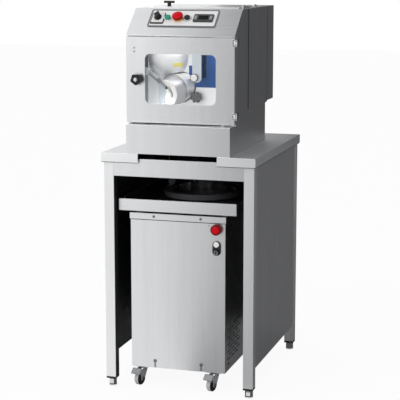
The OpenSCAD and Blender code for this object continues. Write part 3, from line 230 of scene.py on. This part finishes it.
# Polycarbonate caps and collar of the push buttons, and nylon and ABS of the knobs and the controller's case
stop_red = moulded_plastic(
    "red polycarbonate", "CC0419", "BF0317", rough=0.46, grain_mm=2.0, relief=0.02, specular=0.12)
# Dark red: painted shade on the stops' rims and on the trolley stop's collar
stop_rim_shade = moulded_plastic(
    "red polycarbonate in painted shade", "6A060C", "74070E", rough=0.42, grain_mm=1.0, relief=0.04, specular=0.15)
start_green = moulded_plastic(
    "green polycarbonate", "129A7A", "0F8B6E", rough=0.30, grain_mm=2.0, relief=0.02, coat=0.1, specular=0.3)
collar_yellow = moulded_plastic(
    "yellow polycarbonate", "E8A33C", "DD962F", rough=0.38, grain_mm=1.0, relief=0.04)
button_white = moulded_plastic(
    "white polycarbonate", "ECECEA", "E2E2E0", rough=0.26, grain_mm=2.0, relief=0.02)
knob_grey = moulded_plastic("dark grey nylon", "595A5C", "656668", rough=0.44)
case_grey = moulded_plastic("dark grey ABS case", "333537", "3B3D3F", rough=0.44)
key_grey = moulded_plastic("pale grey key legend", "8D8F91", "9A9C9E", rough=0.40)
# The controller's dark window: smoked polycarbonate
smoked_window = moulded_plastic(
    "smoked polycarbonate", "050607", "08090A", rough=0.22, grain_mm=3.0, relief=0.01, specular=0.2)
# Enamelled blue plate, a dark band on it, and a plain patch in the chamber
blue_enamel = moulded_plastic(
    "blue enamelled plate", "0E4788", "15539A", rough=0.55, grain_mm=2.0, relief=0.03)
dark_band = moulded_plastic(
    "dark band beside the clamp", "1B2430", "232D3A", rough=0.26, grain_mm=2.0, relief=0.03)
yellow_film = moulded_plastic("yellow vinyl film", "F4E884", "EBDE74", rough=0.50, grain_mm=1.0, relief=0.03)
# Pale thermoplastic rubber tread on a black nylon wheel
wheel_rubber = moulded_plastic(
    "pale grey thermoplastic rubber", "C3C4C5", "B6B7B8", rough=0.55, grain_mm=0.7, relief=0.12)
# Silver powder coating of the castors' pressed forks and pedals
silver_coating = moulded_plastic(
    "silver grey powder coating", "9C9EA0", "8F9193", rough=0.42, grain_mm=1.2, relief=0.06)
acrylic = clear_acrylic()


def pick(piece):
    """Makes one object the only selected one, and the active one."""
    bpy.ops.object.select_all(action="DESELECT")
    piece.select_set(True)
    bpy.context.view_layer.objects.active = piece


def round_edges(piece, width, segments=2, angle=32):
    """Rounds the sharp edges of a piece, by a width in millimetres."""
    bevel = piece.modifiers.new("rounding", "BEVEL")
    bevel.width = width * mm
    bevel.segments = segments
    bevel.limit_method = "ANGLE"
    bevel.angle_limit = math.radians(angle)
    bevel.use_clamp_overlap = True
    pick(piece)
    bpy.ops.object.modifier_apply(modifier=bevel.name)


def smooth(piece, angle=35):
    """Shades a piece smooth across its roundings, and keeps its large faces flat."""
    pick(piece)
    bpy.ops.object.shade_smooth_by_angle(angle=math.radians(angle))
    even = piece.modifiers.new("even normals", "WEIGHTED_NORMAL")
    even.keep_sharp = True
    even.weight = 100
    bpy.ops.object.modifier_apply(modifier=even.name)


def body_of(node):
    """The body that a CAD node rides on."""
    return next(body for body, nodes in frame["record"]["behaviour"]["bodies"].items() if node in nodes)


def softened(node, material, edge, segments=2):
    """A copy of a CAD node with its sharp edges rounded, which stands for the node."""
    piece = bpy.data.objects.new(node + "_dressed", frame["nodes"][node].data.copy())
    scene.collection.objects.link(piece)
    piece.data.materials.clear()
    piece.data.materials.append(material)
    pick(piece)
    bpy.ops.object.mode_set(mode="EDIT")
    bpy.ops.mesh.select_all(action="SELECT")
    bpy.ops.mesh.remove_doubles(threshold=0.002 * mm)
    bpy.ops.mesh.dissolve_limited(angle_limit=math.radians(0.5))
    bpy.ops.object.mode_set(mode="OBJECT")
    if edge:
        round_edges(piece, edge, segments)
    smooth(piece)
    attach(piece, body_of(node))
    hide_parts(node)
    return piece


def paint(piece, material, wanted):
    """Gives the faces that a test of centre and normal picks another material."""
    piece.data.materials.append(material)
    index = len(piece.data.materials) - 1
    for face in piece.data.polygons:
        if wanted(face.center, face.normal):
            face.material_index = index


def settle(piece, name, body, material, place=Matrix(), edge=0.0):
    """Names a new piece, puts it in its place, rounds it and lets it ride on its body."""
    piece.name = piece.data.name = name
    piece.data.materials.clear()
    piece.data.materials.append(material)
    piece.matrix_world = place @ piece.matrix_world
    pick(piece)
    bpy.ops.object.transform_apply(location=True, rotation=True, scale=True)
    if edge:
        round_edges(piece, edge)
    smooth(piece)
    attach(piece, body)
    return piece


def turned(start, steps, vertices, solid=True):
    """A turned piece about Z: a disc or an open ring of (radius, height), drawn out and in step by step."""
    extrude = bpy.ops.mesh.extrude_region_move if solid else bpy.ops.mesh.extrude_edges_move
    radius, height = start
    bpy.ops.object.select_all(action="DESELECT")
    bpy.ops.mesh.primitive_circle_add(
        vertices=vertices, radius=radius * mm, fill_type="NGON" if solid else "NOTHING", location=(0, 0, 0))
    piece = bpy.context.object
    bpy.ops.object.mode_set(mode="EDIT")
    bpy.ops.mesh.select_all(action="SELECT")
    bpy.ops.transform.translate(value=(0, 0, height * mm))
    for next_radius, next_height in steps:
        extrude(TRANSFORM_OT_translate={"value": (0, 0, (next_height - height) * mm)})
        ratio = next_radius / radius
        bpy.ops.transform.resize(value=(ratio, ratio, 1), center_override=(0, 0, next_height * mm))
        radius, height = next_radius, next_height
    bpy.ops.mesh.select_all(action="SELECT")
    bpy.ops.mesh.normals_make_consistent(inside=False)
    bpy.ops.object.mode_set(mode="OBJECT")
    return piece


def plate(width, depth, height, corner=0.0):
    """A flat plate on Z = 0 about the origin, in millimetres, with its upright corners rounded."""
    bpy.ops.object.select_all(action="DESELECT")
    bpy.ops.mesh.primitive_cube_add(size=1, location=(0, 0, height * mm / 2))
    piece = bpy.context.object
    piece.scale = (width * mm, depth * mm, height * mm)
    bpy.ops.object.transform_apply(location=True, rotation=True, scale=True)
    if corner:
        bpy.ops.object.mode_set(mode="EDIT")
        bpy.ops.mesh.select_all(action="DESELECT")
        bpy.ops.object.mode_set(mode="OBJECT")
        for line in piece.data.edges:
            a, b = (piece.data.vertices[i].co for i in line.vertices)
            line.select = abs(a.z - b.z) > height * mm / 2
        bpy.ops.object.mode_set(mode="EDIT")
        bpy.ops.mesh.select_mode(type="EDGE")
        bpy.ops.mesh.bevel(offset=corner * mm, segments=6, affect="EDGES")
        bpy.ops.object.mode_set(mode="OBJECT")
    return piece


def numbered(name, body, places):
    """Spots for copies that ride on one body: each place with a numbered name."""
    return [(f"{name}_{number}", body, place) for number, place in enumerate(places, 1)]


def spread(piece, material, spots):
    """Settles a copy of a piece, with its own mesh, at each (name, body, place), and drops the piece."""
    for name, body, place in spots:
        copy = bpy.data.objects.new(name, piece.data.copy())
        copy.data.transform(place)
        scene.collection.objects.link(copy)
        settle(copy, name, body, material)
    bpy.data.objects.remove(piece)


def point(x, back, z):
    """A point in millimetres: right of the middle, back from the table's front edge, up from the floor."""
    return Vector((x * mm, front_edge + back * mm, z * mm))


def facing_front(x, back, z):
    """The place at a point whose Z faces the front."""
    return Matrix.Translation(point(x, back, z)) @ Matrix.Rotation(math.radians(90), 4, "X")


def facing_right(x, back, z):
    """The place at a point whose Z faces right, and whose X points down."""
    return Matrix.Translation(point(x, back, z)) @ Matrix.Rotation(math.radians(90), 4, "Y")


# The sloped fascia runs back and up from a crease above the door, and its controls stand in one row.
door_back = 38
slope_run, slope_rise = 112, 93
slope_turn = math.atan2(slope_rise, slope_run)
fascia_foot, sheet = 1330, 2
crease = point(0, door_back, fascia_foot + sheet / math.cos(slope_turn))
panel_x, panel_height, panel_gap = -7, 92, 8.6
panel_middle = math.hypot(slope_run, slope_rise) - panel_gap - panel_height / 2
row = panel_middle - 1


def on_slope(x, along=row, out=0.0):
    """A place on the sloped fascia, in millimetres: Y runs up it from the crease, and Z stands out of it."""
    return (Matrix.Translation(crease) @ Matrix.Rotation(slope_turn, 4, "X")
            @ Matrix.Translation((x * mm, along * mm, out * mm)))


# Stand: the table's front and rear lips are brushed across and painted lighter, as light on them; undersides
# and inner sides are painted black as shade.
table_height = 900 * mm
under_top = table_height - 20 * mm
apron_rear = front_edge + 65 * mm
table = softened("table_top", steel_deep, 0.8)
# The lips' front and rear faces are painted lighter, as light on them.
paint(table, steel_lip_lit, lambda centre, normal: abs(normal.y) > 0.7)
# The table's underside is painted black as shade.
paint(table, black_joint_and_shade, lambda centre, normal: normal.z < -0.5 and centre.z > under_top)
legs = softened("legs", steel_tube, 0.7)
# The legs' inner faces are painted black as shade.
paint(legs, black_joint_and_shade, lambda centre, normal: normal.x * centre.x < -0.1)
# Black strips under the table's lip, on both sides of the notch and along both sides of the table: painted
# shadow under the lip
shade_strip_z = 866.1
spread(plate(143, 1.8, 1.6, 0.4), black_nylon_and_shade, numbered("lip_painted_shade", "stand", [
    facing_front(x, 2, shade_strip_z) for x in (-223, 223)]))
spread(plate(1.8, 724, 1.6, 0.4), black_nylon_and_shade, numbered("side_painted_shade", "stand", [
    facing_right(x, table_depth / 2, shade_strip_z) for x in (293, -294.6)]))
softened("leg_plugs", black_nylon_and_shade, 0.8)
for corner in ("front_left", "front_right", "rear_left", "rear_right"):
    softened("foot_" + corner, chrome, 0.7)
panels = softened("stand_panels", steel_upright, 0.4)
# The panels' inner faces are painted black as shade.
paint(panels, black_joint_and_shade, lambda centre, normal: (
    normal.x * centre.x < -0.01 or (normal.y < -0.5 and centre.y > 0)
    or (normal.y > 0.5 and centre.y < apron_rear)))

# Head
softened("plinth", steel_upright, 0.8)
softened("cheeks", steel_upright, 0.5)
softened("fascia", steel_across, 0.6)
softened("top_cover", steel_across, 0.6)
hood = softened("rear_hood", steel_upright, 0.9)
# The hood's front edges are painted black as shade against the cheeks, and a dark joint runs down each side
# of it.
hood_front = front_edge + 230 * mm
paint(hood, black_joint_and_shade, lambda centre, normal: normal.y < -0.2 and abs(centre.y - hood_front) < 6 * mm)
hood_side, joint_relief = 208, 0.5
spread(plate(366, 2.2, joint_relief, 0.5), black_joint_and_shade, numbered("hood_joint", "stand", [
    facing_right(x, 513, 1239) for x in (hood_side, -hood_side - joint_relief)]))
softened("lid", steel_across, 0.7)
softened("t_handle", black_phenolic, 1.6, 3)

# Door, with its top face painted black as shade in the gap under the fascia
door = softened("door_panel", steel_upright, 0.7)
paint(door, black_nylon_and_shade, lambda centre, normal: normal.z > 0.3 and centre.z > 1320 * mm)
softened("window_pane", acrylic, 0.6)
softened("door_knuckles", chrome, 0.5)
softened("hinge_leaves", zinc, 0.5)
softened("star_knob", black_phenolic, 2.2, 3)
insert = turned((7.2, 0), [(7.2, 3.6), (6.4, 4.6), (3.4, 4.9), (2.6, 3.6)], 32)
settle(insert, "star_knob_insert", "door_knob", chrome, facing_front(-162, 14.7, 1172))
rivet = turned((4.2, 0), [(4.0, 0.7), (3.1, 1.4), (1.6, 1.9)], 24)
spread(rivet, zinc, numbered("door_rivet", "door", [
    facing_front(-175, door_back, z) for z in (1287, 1274)]))
leaf_screw = turned((2.6, 0), [(2.6, 0.5), (2.1, 1.1), (1.3, 1.2), (1.1, 0.4)], 24)
spread(leaf_screw, black_nylon_and_shade, numbered("leaf_screw", "door", [
    facing_front(202.4, 35.5, z) for z in (1045, 1309)]))

# Control panel
overlay = softened("control_panel", panel_grey, 0.5)
to_panel = on_slope(panel_x, panel_middle).inverted()
overlay_half_width, overlay_half_height, frame_top = 125.2 * mm, 41.2 * mm, 2.2 * mm


def on_overlay(centre, normal):
    """Whether a face lies on the white plate inside the panel's frame."""
    local = to_panel @ centre
    return abs(local.x) < overlay_half_width and abs(local.y) < overlay_half_height and local.z < frame_top


paint(overlay, panel_white, on_overlay)
# The stop's collar is yellow and the switch's base white; the other rings stay chromed.
stop_x, collar_radius, switch_base_end = -27 * mm, 18.5 * mm, -81 * mm
rings = softened("control_rings", chrome, 0.6)
paint(rings, collar_yellow, lambda centre, normal: abs(centre.x - stop_x) < collar_radius)
paint(rings, panel_white, lambda centre, normal: centre.x < switch_base_end)
border = plate(50, 57, 3.4, 3)
settle(border, "switch_border", "stand", black_nylon_and_shade, on_slope(-104, row - 2, 1.5), 0.5)
# A coated bezel round the dark button, flattened from a ring
bpy.ops.object.select_all(action="DESELECT")
bpy.ops.mesh.primitive_torus_add(
    major_radius=13.8 * mm, minor_radius=2.2 * mm, major_segments=64, minor_segments=14)
bezel = bpy.context.object
bezel.scale = (1, 1, 0.7)
bpy.ops.object.transform_apply(location=True, rotation=True, scale=True)
settle(bezel, "reset_bezel", "stand", silver_coating, on_slope(8, row, 2.4))
softened("switch_knob", black_phenolic, 1.4, 3)
softened("start_button", start_green, 1.0, 3)
softened("reset_button", black_phenolic, 1.0, 3)
# The stop's rim is painted darker as shade where it looks sideways or down the slope.
stop_head = softened("stop_head", stop_red, 0.5, 3)
up_slope = Vector((0, math.cos(slope_turn), math.sin(slope_turn)))
paint(stop_head, stop_rim_shade, lambda centre, normal: (
    abs(normal.x) + abs(normal.dot(up_slope)) > 0.9 and normal.dot(up_slope) < 0.2))
softened("controller", case_grey, 0.7)
window = plate(36, 20, 0.8, 2)
settle(window, "controller_window", "stand", smoked_window, on_slope(70, row, 7.4), 0.3)
for side in ("left", "right"):
    softened("key_" + side, key_grey, 0.5)

# Chamber behind the window; the chute is painted black as shade below the table's top, and its left wall is
# painted dark as shade.
bulkhead = softened("bulkhead", steel_inside, 0.4)
chute = softened("drop_chute", steel_inside, 0.4)
chute_wall_foot = table_height + 100 * mm
paint(chute, black_joint_and_shade, lambda centre, normal: centre.z < table_height)
paint(chute, dull_zinc_and_shade, lambda centre, normal: centre.z > chute_wall_foot and centre.x < 0)
# A dark plate beside the knife's hub carries the left wall's painted shade further, and a pale fold covers
# its rear edge.
left_wall_shade = plate(92, 64, 1.2, 4)
settle(left_wall_shade, "chamber_painted_shade", "stand", dull_zinc_and_shade, facing_right(-157.4, 108, 1255), 0.2)
fold = plate(196, 10, 0.8, 2)
settle(fold, "chamber_fold", "stand", steel_inside, facing_right(-155.9, 143, 1109), 0.2)

# Nozzle, on the auger's axis
auger_axis = Vector((0.4134, 0.8865, 0.2079))
mouth = point(-65, 88, 1120)
on_mouth = Matrix.Translation(mouth) @ auger_axis.to_track_quat("Z", "Y").to_matrix().to_4x4()


def on_drum(centre, normal):
    """Whether a face lies on the tapered outer wall of the nozzle."""
    along = (centre - mouth).dot(auger_axis)
    out = centre - mouth - along * auger_axis
    return 4 * mm < along < 34 * mm and out.length > 44 * mm and normal.dot(out) > 0


nozzle = softened("nozzle", white_acetal, 1.6, 3)
paint(nozzle, turned_aluminium, on_drum)
# A thin turned sleeve covers the drum up to the white rim behind it.
sleeve = turned((48.5, 2.5), [(56.2, 36), (56.2, 49), (55.9, 49.4)], 96, solid=False)
wall = sleeve.modifiers.new("wall", "SOLIDIFY")
wall.thickness = 0.5 * mm
wall.offset = 1
pick(sleeve)
bpy.ops.object.modifier_apply(modifier=wall.name)
settle(sleeve, "nozzle_sleeve", "stand", turned_aluminium, on_mouth)

# Knife, whose arm and hub are zinc plated
knife = softened("knife", blade_steel, 0.5)
pivot = point(-142.7, 105.9, 1198.2)
auger_yaw, knife_drop = math.radians(25), math.radians(36.5)
across = Vector((math.cos(auger_yaw), -math.sin(auger_yaw), 0))
arm = math.cos(knife_drop) * across - math.sin(knife_drop) * across.cross(auger_axis)
above = arm.cross(auger_axis)
arm_half, hub_radius = 8.5 * mm, 13.6 * mm


def on_hub(centre, normal):
    """Whether a face lies on the knife's hub."""
    along = (centre - pivot).dot(auger_axis)
    return (centre - pivot - along * auger_axis).length < hub_radius and along < 0


def on_knife(along, over, out):
    """A place on the knife, in millimetres: X runs along its arm from the pivot, Z faces the front."""
    turn = Matrix((arm, above, -auger_axis)).transposed().to_4x4()
    return Matrix.Translation(pivot) @ turn @ Matrix.Translation((along * mm, over * mm, out * mm))


paint(knife, zinc, lambda centre, normal: abs((centre - pivot).dot(above)) < arm_half)
paint(knife, zinc, on_hub)
# Dark ribs on the knife's arm, a boss halfway along it, and a black tip
arm_face = 6.4
for name, length, width, along, over in (
        ("knife_rib_1", 52, 5, 25, -3.6), ("knife_rib_2", 40, 4, 84, 3.6)):
    rib = plate(length, width, 1.4, 1.6)
    settle(rib, name, "cutter", dull_zinc_and_shade, on_knife(along, over, arm_face), 0.3)
boss = turned((11, 0), [(11, 3.2), (9.6, 4.6), (3.0, 5.0)], 32)
settle(boss, "knife_boss", "cutter", dull_zinc_and_shade, on_knife(63, 5, arm_face))
tip = turned((5.4, 0), [(5.4, 1.6), (4.4, 2.4)], 32)
settle(tip, "knife_tip", "cutter", black_phenolic, on_knife(104, 3, arm_face))
# The broad blade hangs under the arm, and its two long sides draw together.
blade = plate(60, 62, 1.2)
bpy.ops.object.mode_set(mode="EDIT")
for (x, y), (side_x, side_y) in (((-27, 31), (-0.87, -0.49)), ((21, 31), (0.99, 0.14))):
    bpy.ops.mesh.select_all(action="SELECT")
    bpy.ops.mesh.bisect(plane_co=(x * mm, y * mm, 0), plane_no=(side_x, side_y, 0),
                        use_fill=True, clear_outer=True)
bpy.ops.object.mode_set(mode="OBJECT")
settle(blade, "knife_blade", "cutter", blade_steel, on_knife(90, -38.5, 5.1), 0.3)

# Clamp, its knob, and the blue plate behind it
clamp = softened("clamp_arm", blasted_steel, 0.8)
disc_rear = front_edge + 111 * mm
paint(clamp, knob_grey, lambda centre, normal: centre.y < disc_rear)
cap = turned((12.6, 0), [(12.6, 0.8), (11.4, 1.7), (4.0, 2.1)], 40)
settle(cap, "clamp_cap", "clamp", buffed_steel, facing_front(33, 104, 1175.6))
softened("nozzle_knob", knob_grey, 1.6, 3)
blue = plate(126, 158, 1.2, 2)
settle(blue, "blue_plate", "stand", blue_enamel, facing_front(64, 150, 1216), 0.3)
# The plate is cut out round the auger's barrel and at its upper left corner.
barrel_hole = turned((57.5, 0), [(57.5, 140)], 64)
barrel_hole.matrix_world = on_mouth
corner_cut = plate(30, 90, 8, 2)
corner_cut.matrix_world = facing_front(0, 154, 1262)
for cutter in (barrel_hole, corner_cut):
    cut = blue.modifiers.new("cut", "BOOLEAN")
    cut.object = cutter
    pick(blue)
    bpy.ops.object.modifier_apply(modifier=cut.name)
    bpy.data.objects.remove(cutter)
band = plate(15, 112, 1.7, 1)
settle(band, "blue_plate_band", "stand", dark_band, facing_front(60, 150, 1228), 0.3)

# A plain yellow patch, laid on the dome
bpy.ops.object.select_all(action="DESELECT")
bpy.ops.mesh.primitive_grid_add(x_subdivisions=14, y_subdivisions=8, size=1)
patch = bpy.context.object
patch.scale = (30 * mm, 15 * mm, 1)
bpy.ops.object.transform_apply(location=True, rotation=True, scale=True)
settle(patch, "yellow_patch", "stand", yellow_film, facing_front(-33, 80, 1221))
wrap = patch.modifiers.new("laid on", "SHRINKWRAP")
wrap.target = bulkhead
wrap.wrap_method = "PROJECT"
wrap.use_project_y = True
wrap.use_positive_direction = True
wrap.offset = 0.5 * mm
skin = patch.modifiers.new("film", "SOLIDIFY")
skin.thickness = 0.4 * mm
skin.offset = 0
pick(patch)
bpy.ops.object.modifier_apply(modifier=wrap.name)
bpy.ops.object.modifier_apply(modifier=skin.name)

# Hidden drive
softened("hopper", polished_steel, 0.0)
softened("barrel", steel_inside, 0.0)
for node in ("auger_shaft", "auger_flight"):
    softened(node, white_acetal, 0.0)
for node in ("auger_motor", "knife_motor", "bowl_motor"):
    softened(node, cast_metal, 1.2)

# Trolley
softened("chassis", steel_across, 0.6)
softened("cabinet_shell", steel_upright, 0.0)
softened("front_cover", steel_upright, 0.5)
tray = softened("tray", steel_across, 0.6)
trolley_x, trolley_y, tray_rim = -13 * mm, 8 * mm, 723 * mm


def in_tray(centre, normal):
    """Whether a face lies inside the tray: on its floor, or on a wall that faces its middle."""
    inwards = Vector((trolley_x, trolley_y, centre.z)) - centre
    return centre.z < tray_rim and (normal.z > 0.5 or (abs(normal.z) < 0.5 and normal.dot(inwards) > 0))


# The tray's inside is painted dark as shade.
paint(tray, dull_zinc_and_shade, in_tray)
softened("bowl", bowl_painted_lighter, 2.5, 4)
softened("vane", polished_steel, 0.5)

# The trolley's push station: the stop stands above the two buttons.
station_x, trolley_stop_z, reset_z = 138, 625, 539


def off_axis(centre, z):
    """How far a point lies from the axis of the push station's button at a height in millimetres."""
    return math.hypot(centre.x - station_x * mm, centre.z - z * mm)


# The trolley stop's collar and the outer ring of its head are painted dark red as shade.
trolley_trim = softened("trolley_rings", black_nylon_and_shade, 0.9, 3)
paint(trolley_trim, stop_rim_shade, lambda centre, normal: centre.z > 600 * mm)
trolley_stop = softened("trolley_stop_head", stop_red, 0.5, 3)
paint(trolley_stop, stop_rim_shade, lambda centre, normal: off_axis(centre, trolley_stop_z) > 13.4 * mm)
softened("trolley_start", button_white, 0.9, 3)
softened("trolley_reset", black_nylon_and_shade, 0.9, 3)
ring = turned((7.6, 0), [(7.4, 0.9), (5.2, 0.9), (4.8, 0.2)], 40)
settle(ring, "trolley_reset_ring", "trolley_off", zinc, facing_front(station_x, 34.7, reset_z))
paint(ring, black_nylon_and_shade, lambda centre, normal: off_axis(centre, reset_z) < 1 * mm)

# Screws of the rim, of the front cover's keyholes and of the cabinet's sides, and a black strip under the rim
# as painted shade
rim_screw = turned((5.2, 0), [(5.2, 0.7), (4.3, 2.0), (2.7, 2.6), (2.3, 1.0)], 28)
spread(rim_screw, dull_zinc_and_shade, numbered("rim_screw", "trolley", [
    facing_front(x, 45, 661) for x in (-105, 77)]))
cover_back, keyholes = 48, (-104, 78)
rim_shade_strip = plate(366, 2.6, 0.9, 0.4)
settle(rim_shade_strip, "rim_painted_shade", "trolley", black_nylon_and_shade, facing_front(-13, cover_back, 647.3))
cover_screw = turned((6.8, 0), [(6.8, 1.0), (5.6, 2.4), (2.8, 2.8), (2.4, 1.2)], 28)
spread(cover_screw, dull_zinc_and_shade, numbered("cover_screw", "trolley", [
    facing_front(x, cover_back, 103) for x in keyholes]))
spread(plate(5.4, 24, 0.8, 0.8), dull_zinc_and_shade, numbered("keyhole_strip", "trolley", [
    facing_front(x, cover_back + 1.2, 89) for x in keyholes]))
side_screw = turned((4.6, 0), [(4.6, 0.6), (3.6, 1.6), (2.2, 1.9), (1.9, 0.9)], 24)
spread(side_screw, black_nylon_and_shade, numbered("side_screw", "trolley", [
    facing_right(171, back, 101) for back in (97, 650)]))

# Castors: the front pair swivels and stands turned, the rear pair is rigid.
swivel = math.radians(14)
front_axle = Vector((math.cos(swivel), -math.sin(swivel), 0))
rear_axle = Vector((1, 0, 0))
for side in ("left", "right"):
    softened("fork_" + side, silver_coating, 0.6)
    softened("pedal_" + side, silver_coating, 0.7)
    for end, axle in (("front", front_axle), ("rear", rear_axle)):
        wheel = softened(f"wheel_{end}_{side}", black_nylon_and_shade, 1.2, 3)
        paint(wheel, wheel_rubber, lambda centre, normal: abs(normal.dot(axle)) < 0.5)

# Wheel cores and axle nuts, on both sides of each wheel
castor_middle, castor_reach = -21, 143
swivel_back, rigid_back = 86, 638
wheel_trail, wheel_radius = 26, 26
core_out, nut_out = 10 * mm, 14 * mm
cores, nuts = [], []
for side, sign in (("left", -1), ("right", 1)):
    castor_x = castor_middle + sign * castor_reach
    front_spot = (Matrix.Translation(point(castor_x, swivel_back, 0)) @ Matrix.Rotation(-swivel, 4, "Z")
                  @ Matrix.Translation((0, -wheel_trail * mm, wheel_radius * mm)))
    rear_spot = Matrix.Translation(point(castor_x, rigid_back, wheel_radius))
    for end, spot, fork_body in (
            ("front", front_spot, f"front_{side}_castor"), ("rear", rear_spot, "trolley")):
        for where, face in (("out", sign), ("in", -sign)):
            outwards = spot @ Matrix.Rotation(math.radians(90 * face), 4, "Y")
            cores.append((f"wheel_core_{end}_{side}_{where}", f"{end}_{side}_wheel",
                          outwards @ Matrix.Translation((0, 0, core_out))))
            nuts.append((f"axle_nut_{end}_{side}_{where}", fork_body,
                         outwards @ Matrix.Translation((0, 0, nut_out))))
core = turned((15.5, 0), [(15.5, 0.3), (14.6, 0.6)], 40)
spread(core, black_nylon_and_shade, cores)
nut = turned((6.6, 0), [(6.6, 4.2), (5.4, 4.9)], 6)
spread(nut, dull_zinc_and_shade, nuts)

# Floor of pale paper, which the camera and the steel see as the white background
bpy.ops.object.select_all(action="DESELECT")
bpy.ops.mesh.primitive_plane_add(size=30, location=(0, 4, 0))
floor = bpy.context.object
floor.name = "floor"
floor_paper, tree, place = blank_material("pale studio paper")
rays = add_node(tree, "ShaderNodeLightPath")
fibre = add_node(tree, "ShaderNodeTexNoise", {"Vector": place, "Scale": 1 / (16.7 * mm)})
paper_tint = add_node(tree, "ShaderNodeMix", {
    "Factor": fibre.outputs[0], 6: colour("F6F6F6"), 7: colour("F2F2F2")}, data_type="RGBA")
matt = add_node(tree, "ShaderNodeBsdfDiffuse", {"Color": paper_tint.outputs[2]})
glow = add_node(tree, "ShaderNodeEmission", {"Color": (1, 1, 1, 1), "Strength": 1.0})
mirrored = add_node(tree, "ShaderNodeMath", {0: rays.outputs["Is Glossy Ray"], 1: 0.6}, operation="MULTIPLY")
share = add_node(tree, "ShaderNodeMath", {
    0: rays.outputs["Is Camera Ray"], 1: 0.93, 2: mirrored.outputs[0]}, operation="MULTIPLY_ADD")
mixed = add_node(tree, "ShaderNodeMixShader", {0: share.outputs[0], 1: matt.outputs[0], 2: glow.outputs[0]})
add_node(tree, "ShaderNodeOutputMaterial", {"Surface": mixed.outputs[0]})
floor.data.materials.append(floor_paper)

# White studio, a little dimmer as a light than as a background
world = bpy.data.worlds.new("studio")
world.use_nodes = True
scene.world = world
tree = world.node_tree
tree.nodes.clear()
rays = add_node(tree, "ShaderNodeLightPath")
seen = add_node(tree, "ShaderNodeMath", {
    0: rays.outputs["Is Camera Ray"], 1: rays.outputs["Is Glossy Ray"]}, operation="MAXIMUM")
seen = add_node(tree, "ShaderNodeMath", {
    0: seen.outputs[0], 1: rays.outputs["Is Transmission Ray"]}, operation="MAXIMUM")
strength = add_node(tree, "ShaderNodeMapRange", {"Value": seen.outputs[0], "To Min": 0.75, "To Max": 1.0})
sky = add_node(tree, "ShaderNodeBackground", {"Color": (1, 1, 1, 1), "Strength": strength.outputs[0]})
add_node(tree, "ShaderNodeOutputWorld", {"Surface": sky.outputs[0]})


def flag(name, corners, tone):
    """A grey studio flag between four corners, which the steel mirrors and the camera doesn't see."""
    bpy.ops.object.select_all(action="DESELECT")
    bpy.ops.mesh.primitive_plane_add(size=1)
    card = bpy.context.object
    card.name = name
    for vertex, corner in zip(card.data.vertices, corners):
        vertex.co = corner
    material, tree, _ = blank_material(name + " cloth")
    cloth = add_node(tree, "ShaderNodeEmission", {"Color": colour(tone), "Strength": 1.0})
    add_node(tree, "ShaderNodeOutputMaterial", {"Surface": cloth.outputs[0]})
    card.data.materials.append(material)
    card.visible_camera = False
    card.visible_shadow = False
    card.visible_diffuse = False
    card.visible_transmission = False


def upright(y, left, right, low, high):
    """The corners of a flag that stands across the machine."""
    return [(left, y, low), (right, y, low), (left, y, high), (right, y, high)]


def level(z, left, right, front, rear):
    """The corners of a flag that lies flat."""
    return [(left, front, z), (right, front, z), (left, rear, z), (right, rear, z)]


def sideways(x, front, rear, low, high):
    """The corners of a flag that stands along the machine's side."""
    return [(x, front, low), (x, rear, low), (x, front, high), (x, rear, high)]


# The right-hand faces mirror a dark flag behind the machine, the table top a second one,
# and the fronts and the slope mirror the edges of grey ones, so that they darken to the right.
off_floor = 0.004
flag("side flag", upright(0.55, 0.215, 3.2, 0.85, 3), "4C4C4D")
flag("low side flag", upright(0.55, 0.215, 3.2, 0, 0.85), "606061")
flag("ground flag", level(off_floor, -0.28, 3.2, -0.36, 0.54), "565657")
flag("rear flag", upright(1.6, -0.4, 0.6, 0.2, 3), "808081")
flag("front flag", [(-0.66, -3.1, 0), (1.6, -3.1, 0), (-0.98, -3.1, 2.8), (1.6, -3.1, 2.8)], "8A8A8B")
flag("floor flag", [
    (-0.75, -3.1, off_floor), (1.6, -3.1, off_floor),
    (0.0, -0.4, off_floor), (1.6, -0.4, off_floor)], "9E9E9F")
flag("roof flag", level(4, -0.75, 1.8, -1.5, 2), "909091")
# The chamber's steel mirrors white cards inside the door, on its floor and at its sides.
inside_door = front_edge + 62 * mm
inside_left = front_edge + 108 * mm
inside_rear = front_edge + 148 * mm
flag("chamber floor card", level(1.03, -0.15, 0.15, inside_door, inside_rear), "E4E4E5")
flag("chamber left card", sideways(-0.15, inside_door, inside_left, 1.03, 1.31), "E0E0E1")
flag("chamber right card", sideways(0.15, inside_door, inside_rear, 1.03, 1.31), "E0E0E1")
flag("chamber card", upright(inside_door, -0.19, 0.19, 1.02, 1.31), "ECECED")


def soft_light(name, place, target, width, height, power):
    """A soft box that faces a point."""
    lamp = bpy.data.lights.new(name, "AREA")
    lamp.shape = "RECTANGLE"
    lamp.size = width
    lamp.size_y = height
    lamp.energy = power
    box = bpy.data.objects.new(name, lamp)
    box.location = place
    box.rotation_euler = (Vector(target) - Vector(place)).to_track_quat("-Z", "Y").to_euler()
    box.visible_camera = False
    scene.collection.objects.link(box)
    return box


soft_light("key", (-2.6, -4.2, 3.0), (0, 0, 0.9), 2.2, 2.6, 46)
soft_light("top", (-0.9, -2.4, 4.4), (0, 0, 0.9), 1.0, 0.7, 18)
# The chamber has its own lamps: one under the fascia, one below the window, and one in the nozzle's mouth.
soft_light("chamber lamp", point(0, 72, 1320), point(0, 125, 1100), 0.36, 0.02, 0.20)
soft_light("mouth lamp", point(-100, 64, 1060), point(-100, 95, 1120), 0.10, 0.015, 0.045)
bore_lamp = soft_light(
    "bore lamp", mouth + 3 * mm * auger_axis, mouth + 40 * mm * auger_axis, 0.03, 0.03, 0.035)
bore_lamp.visible_glossy = False
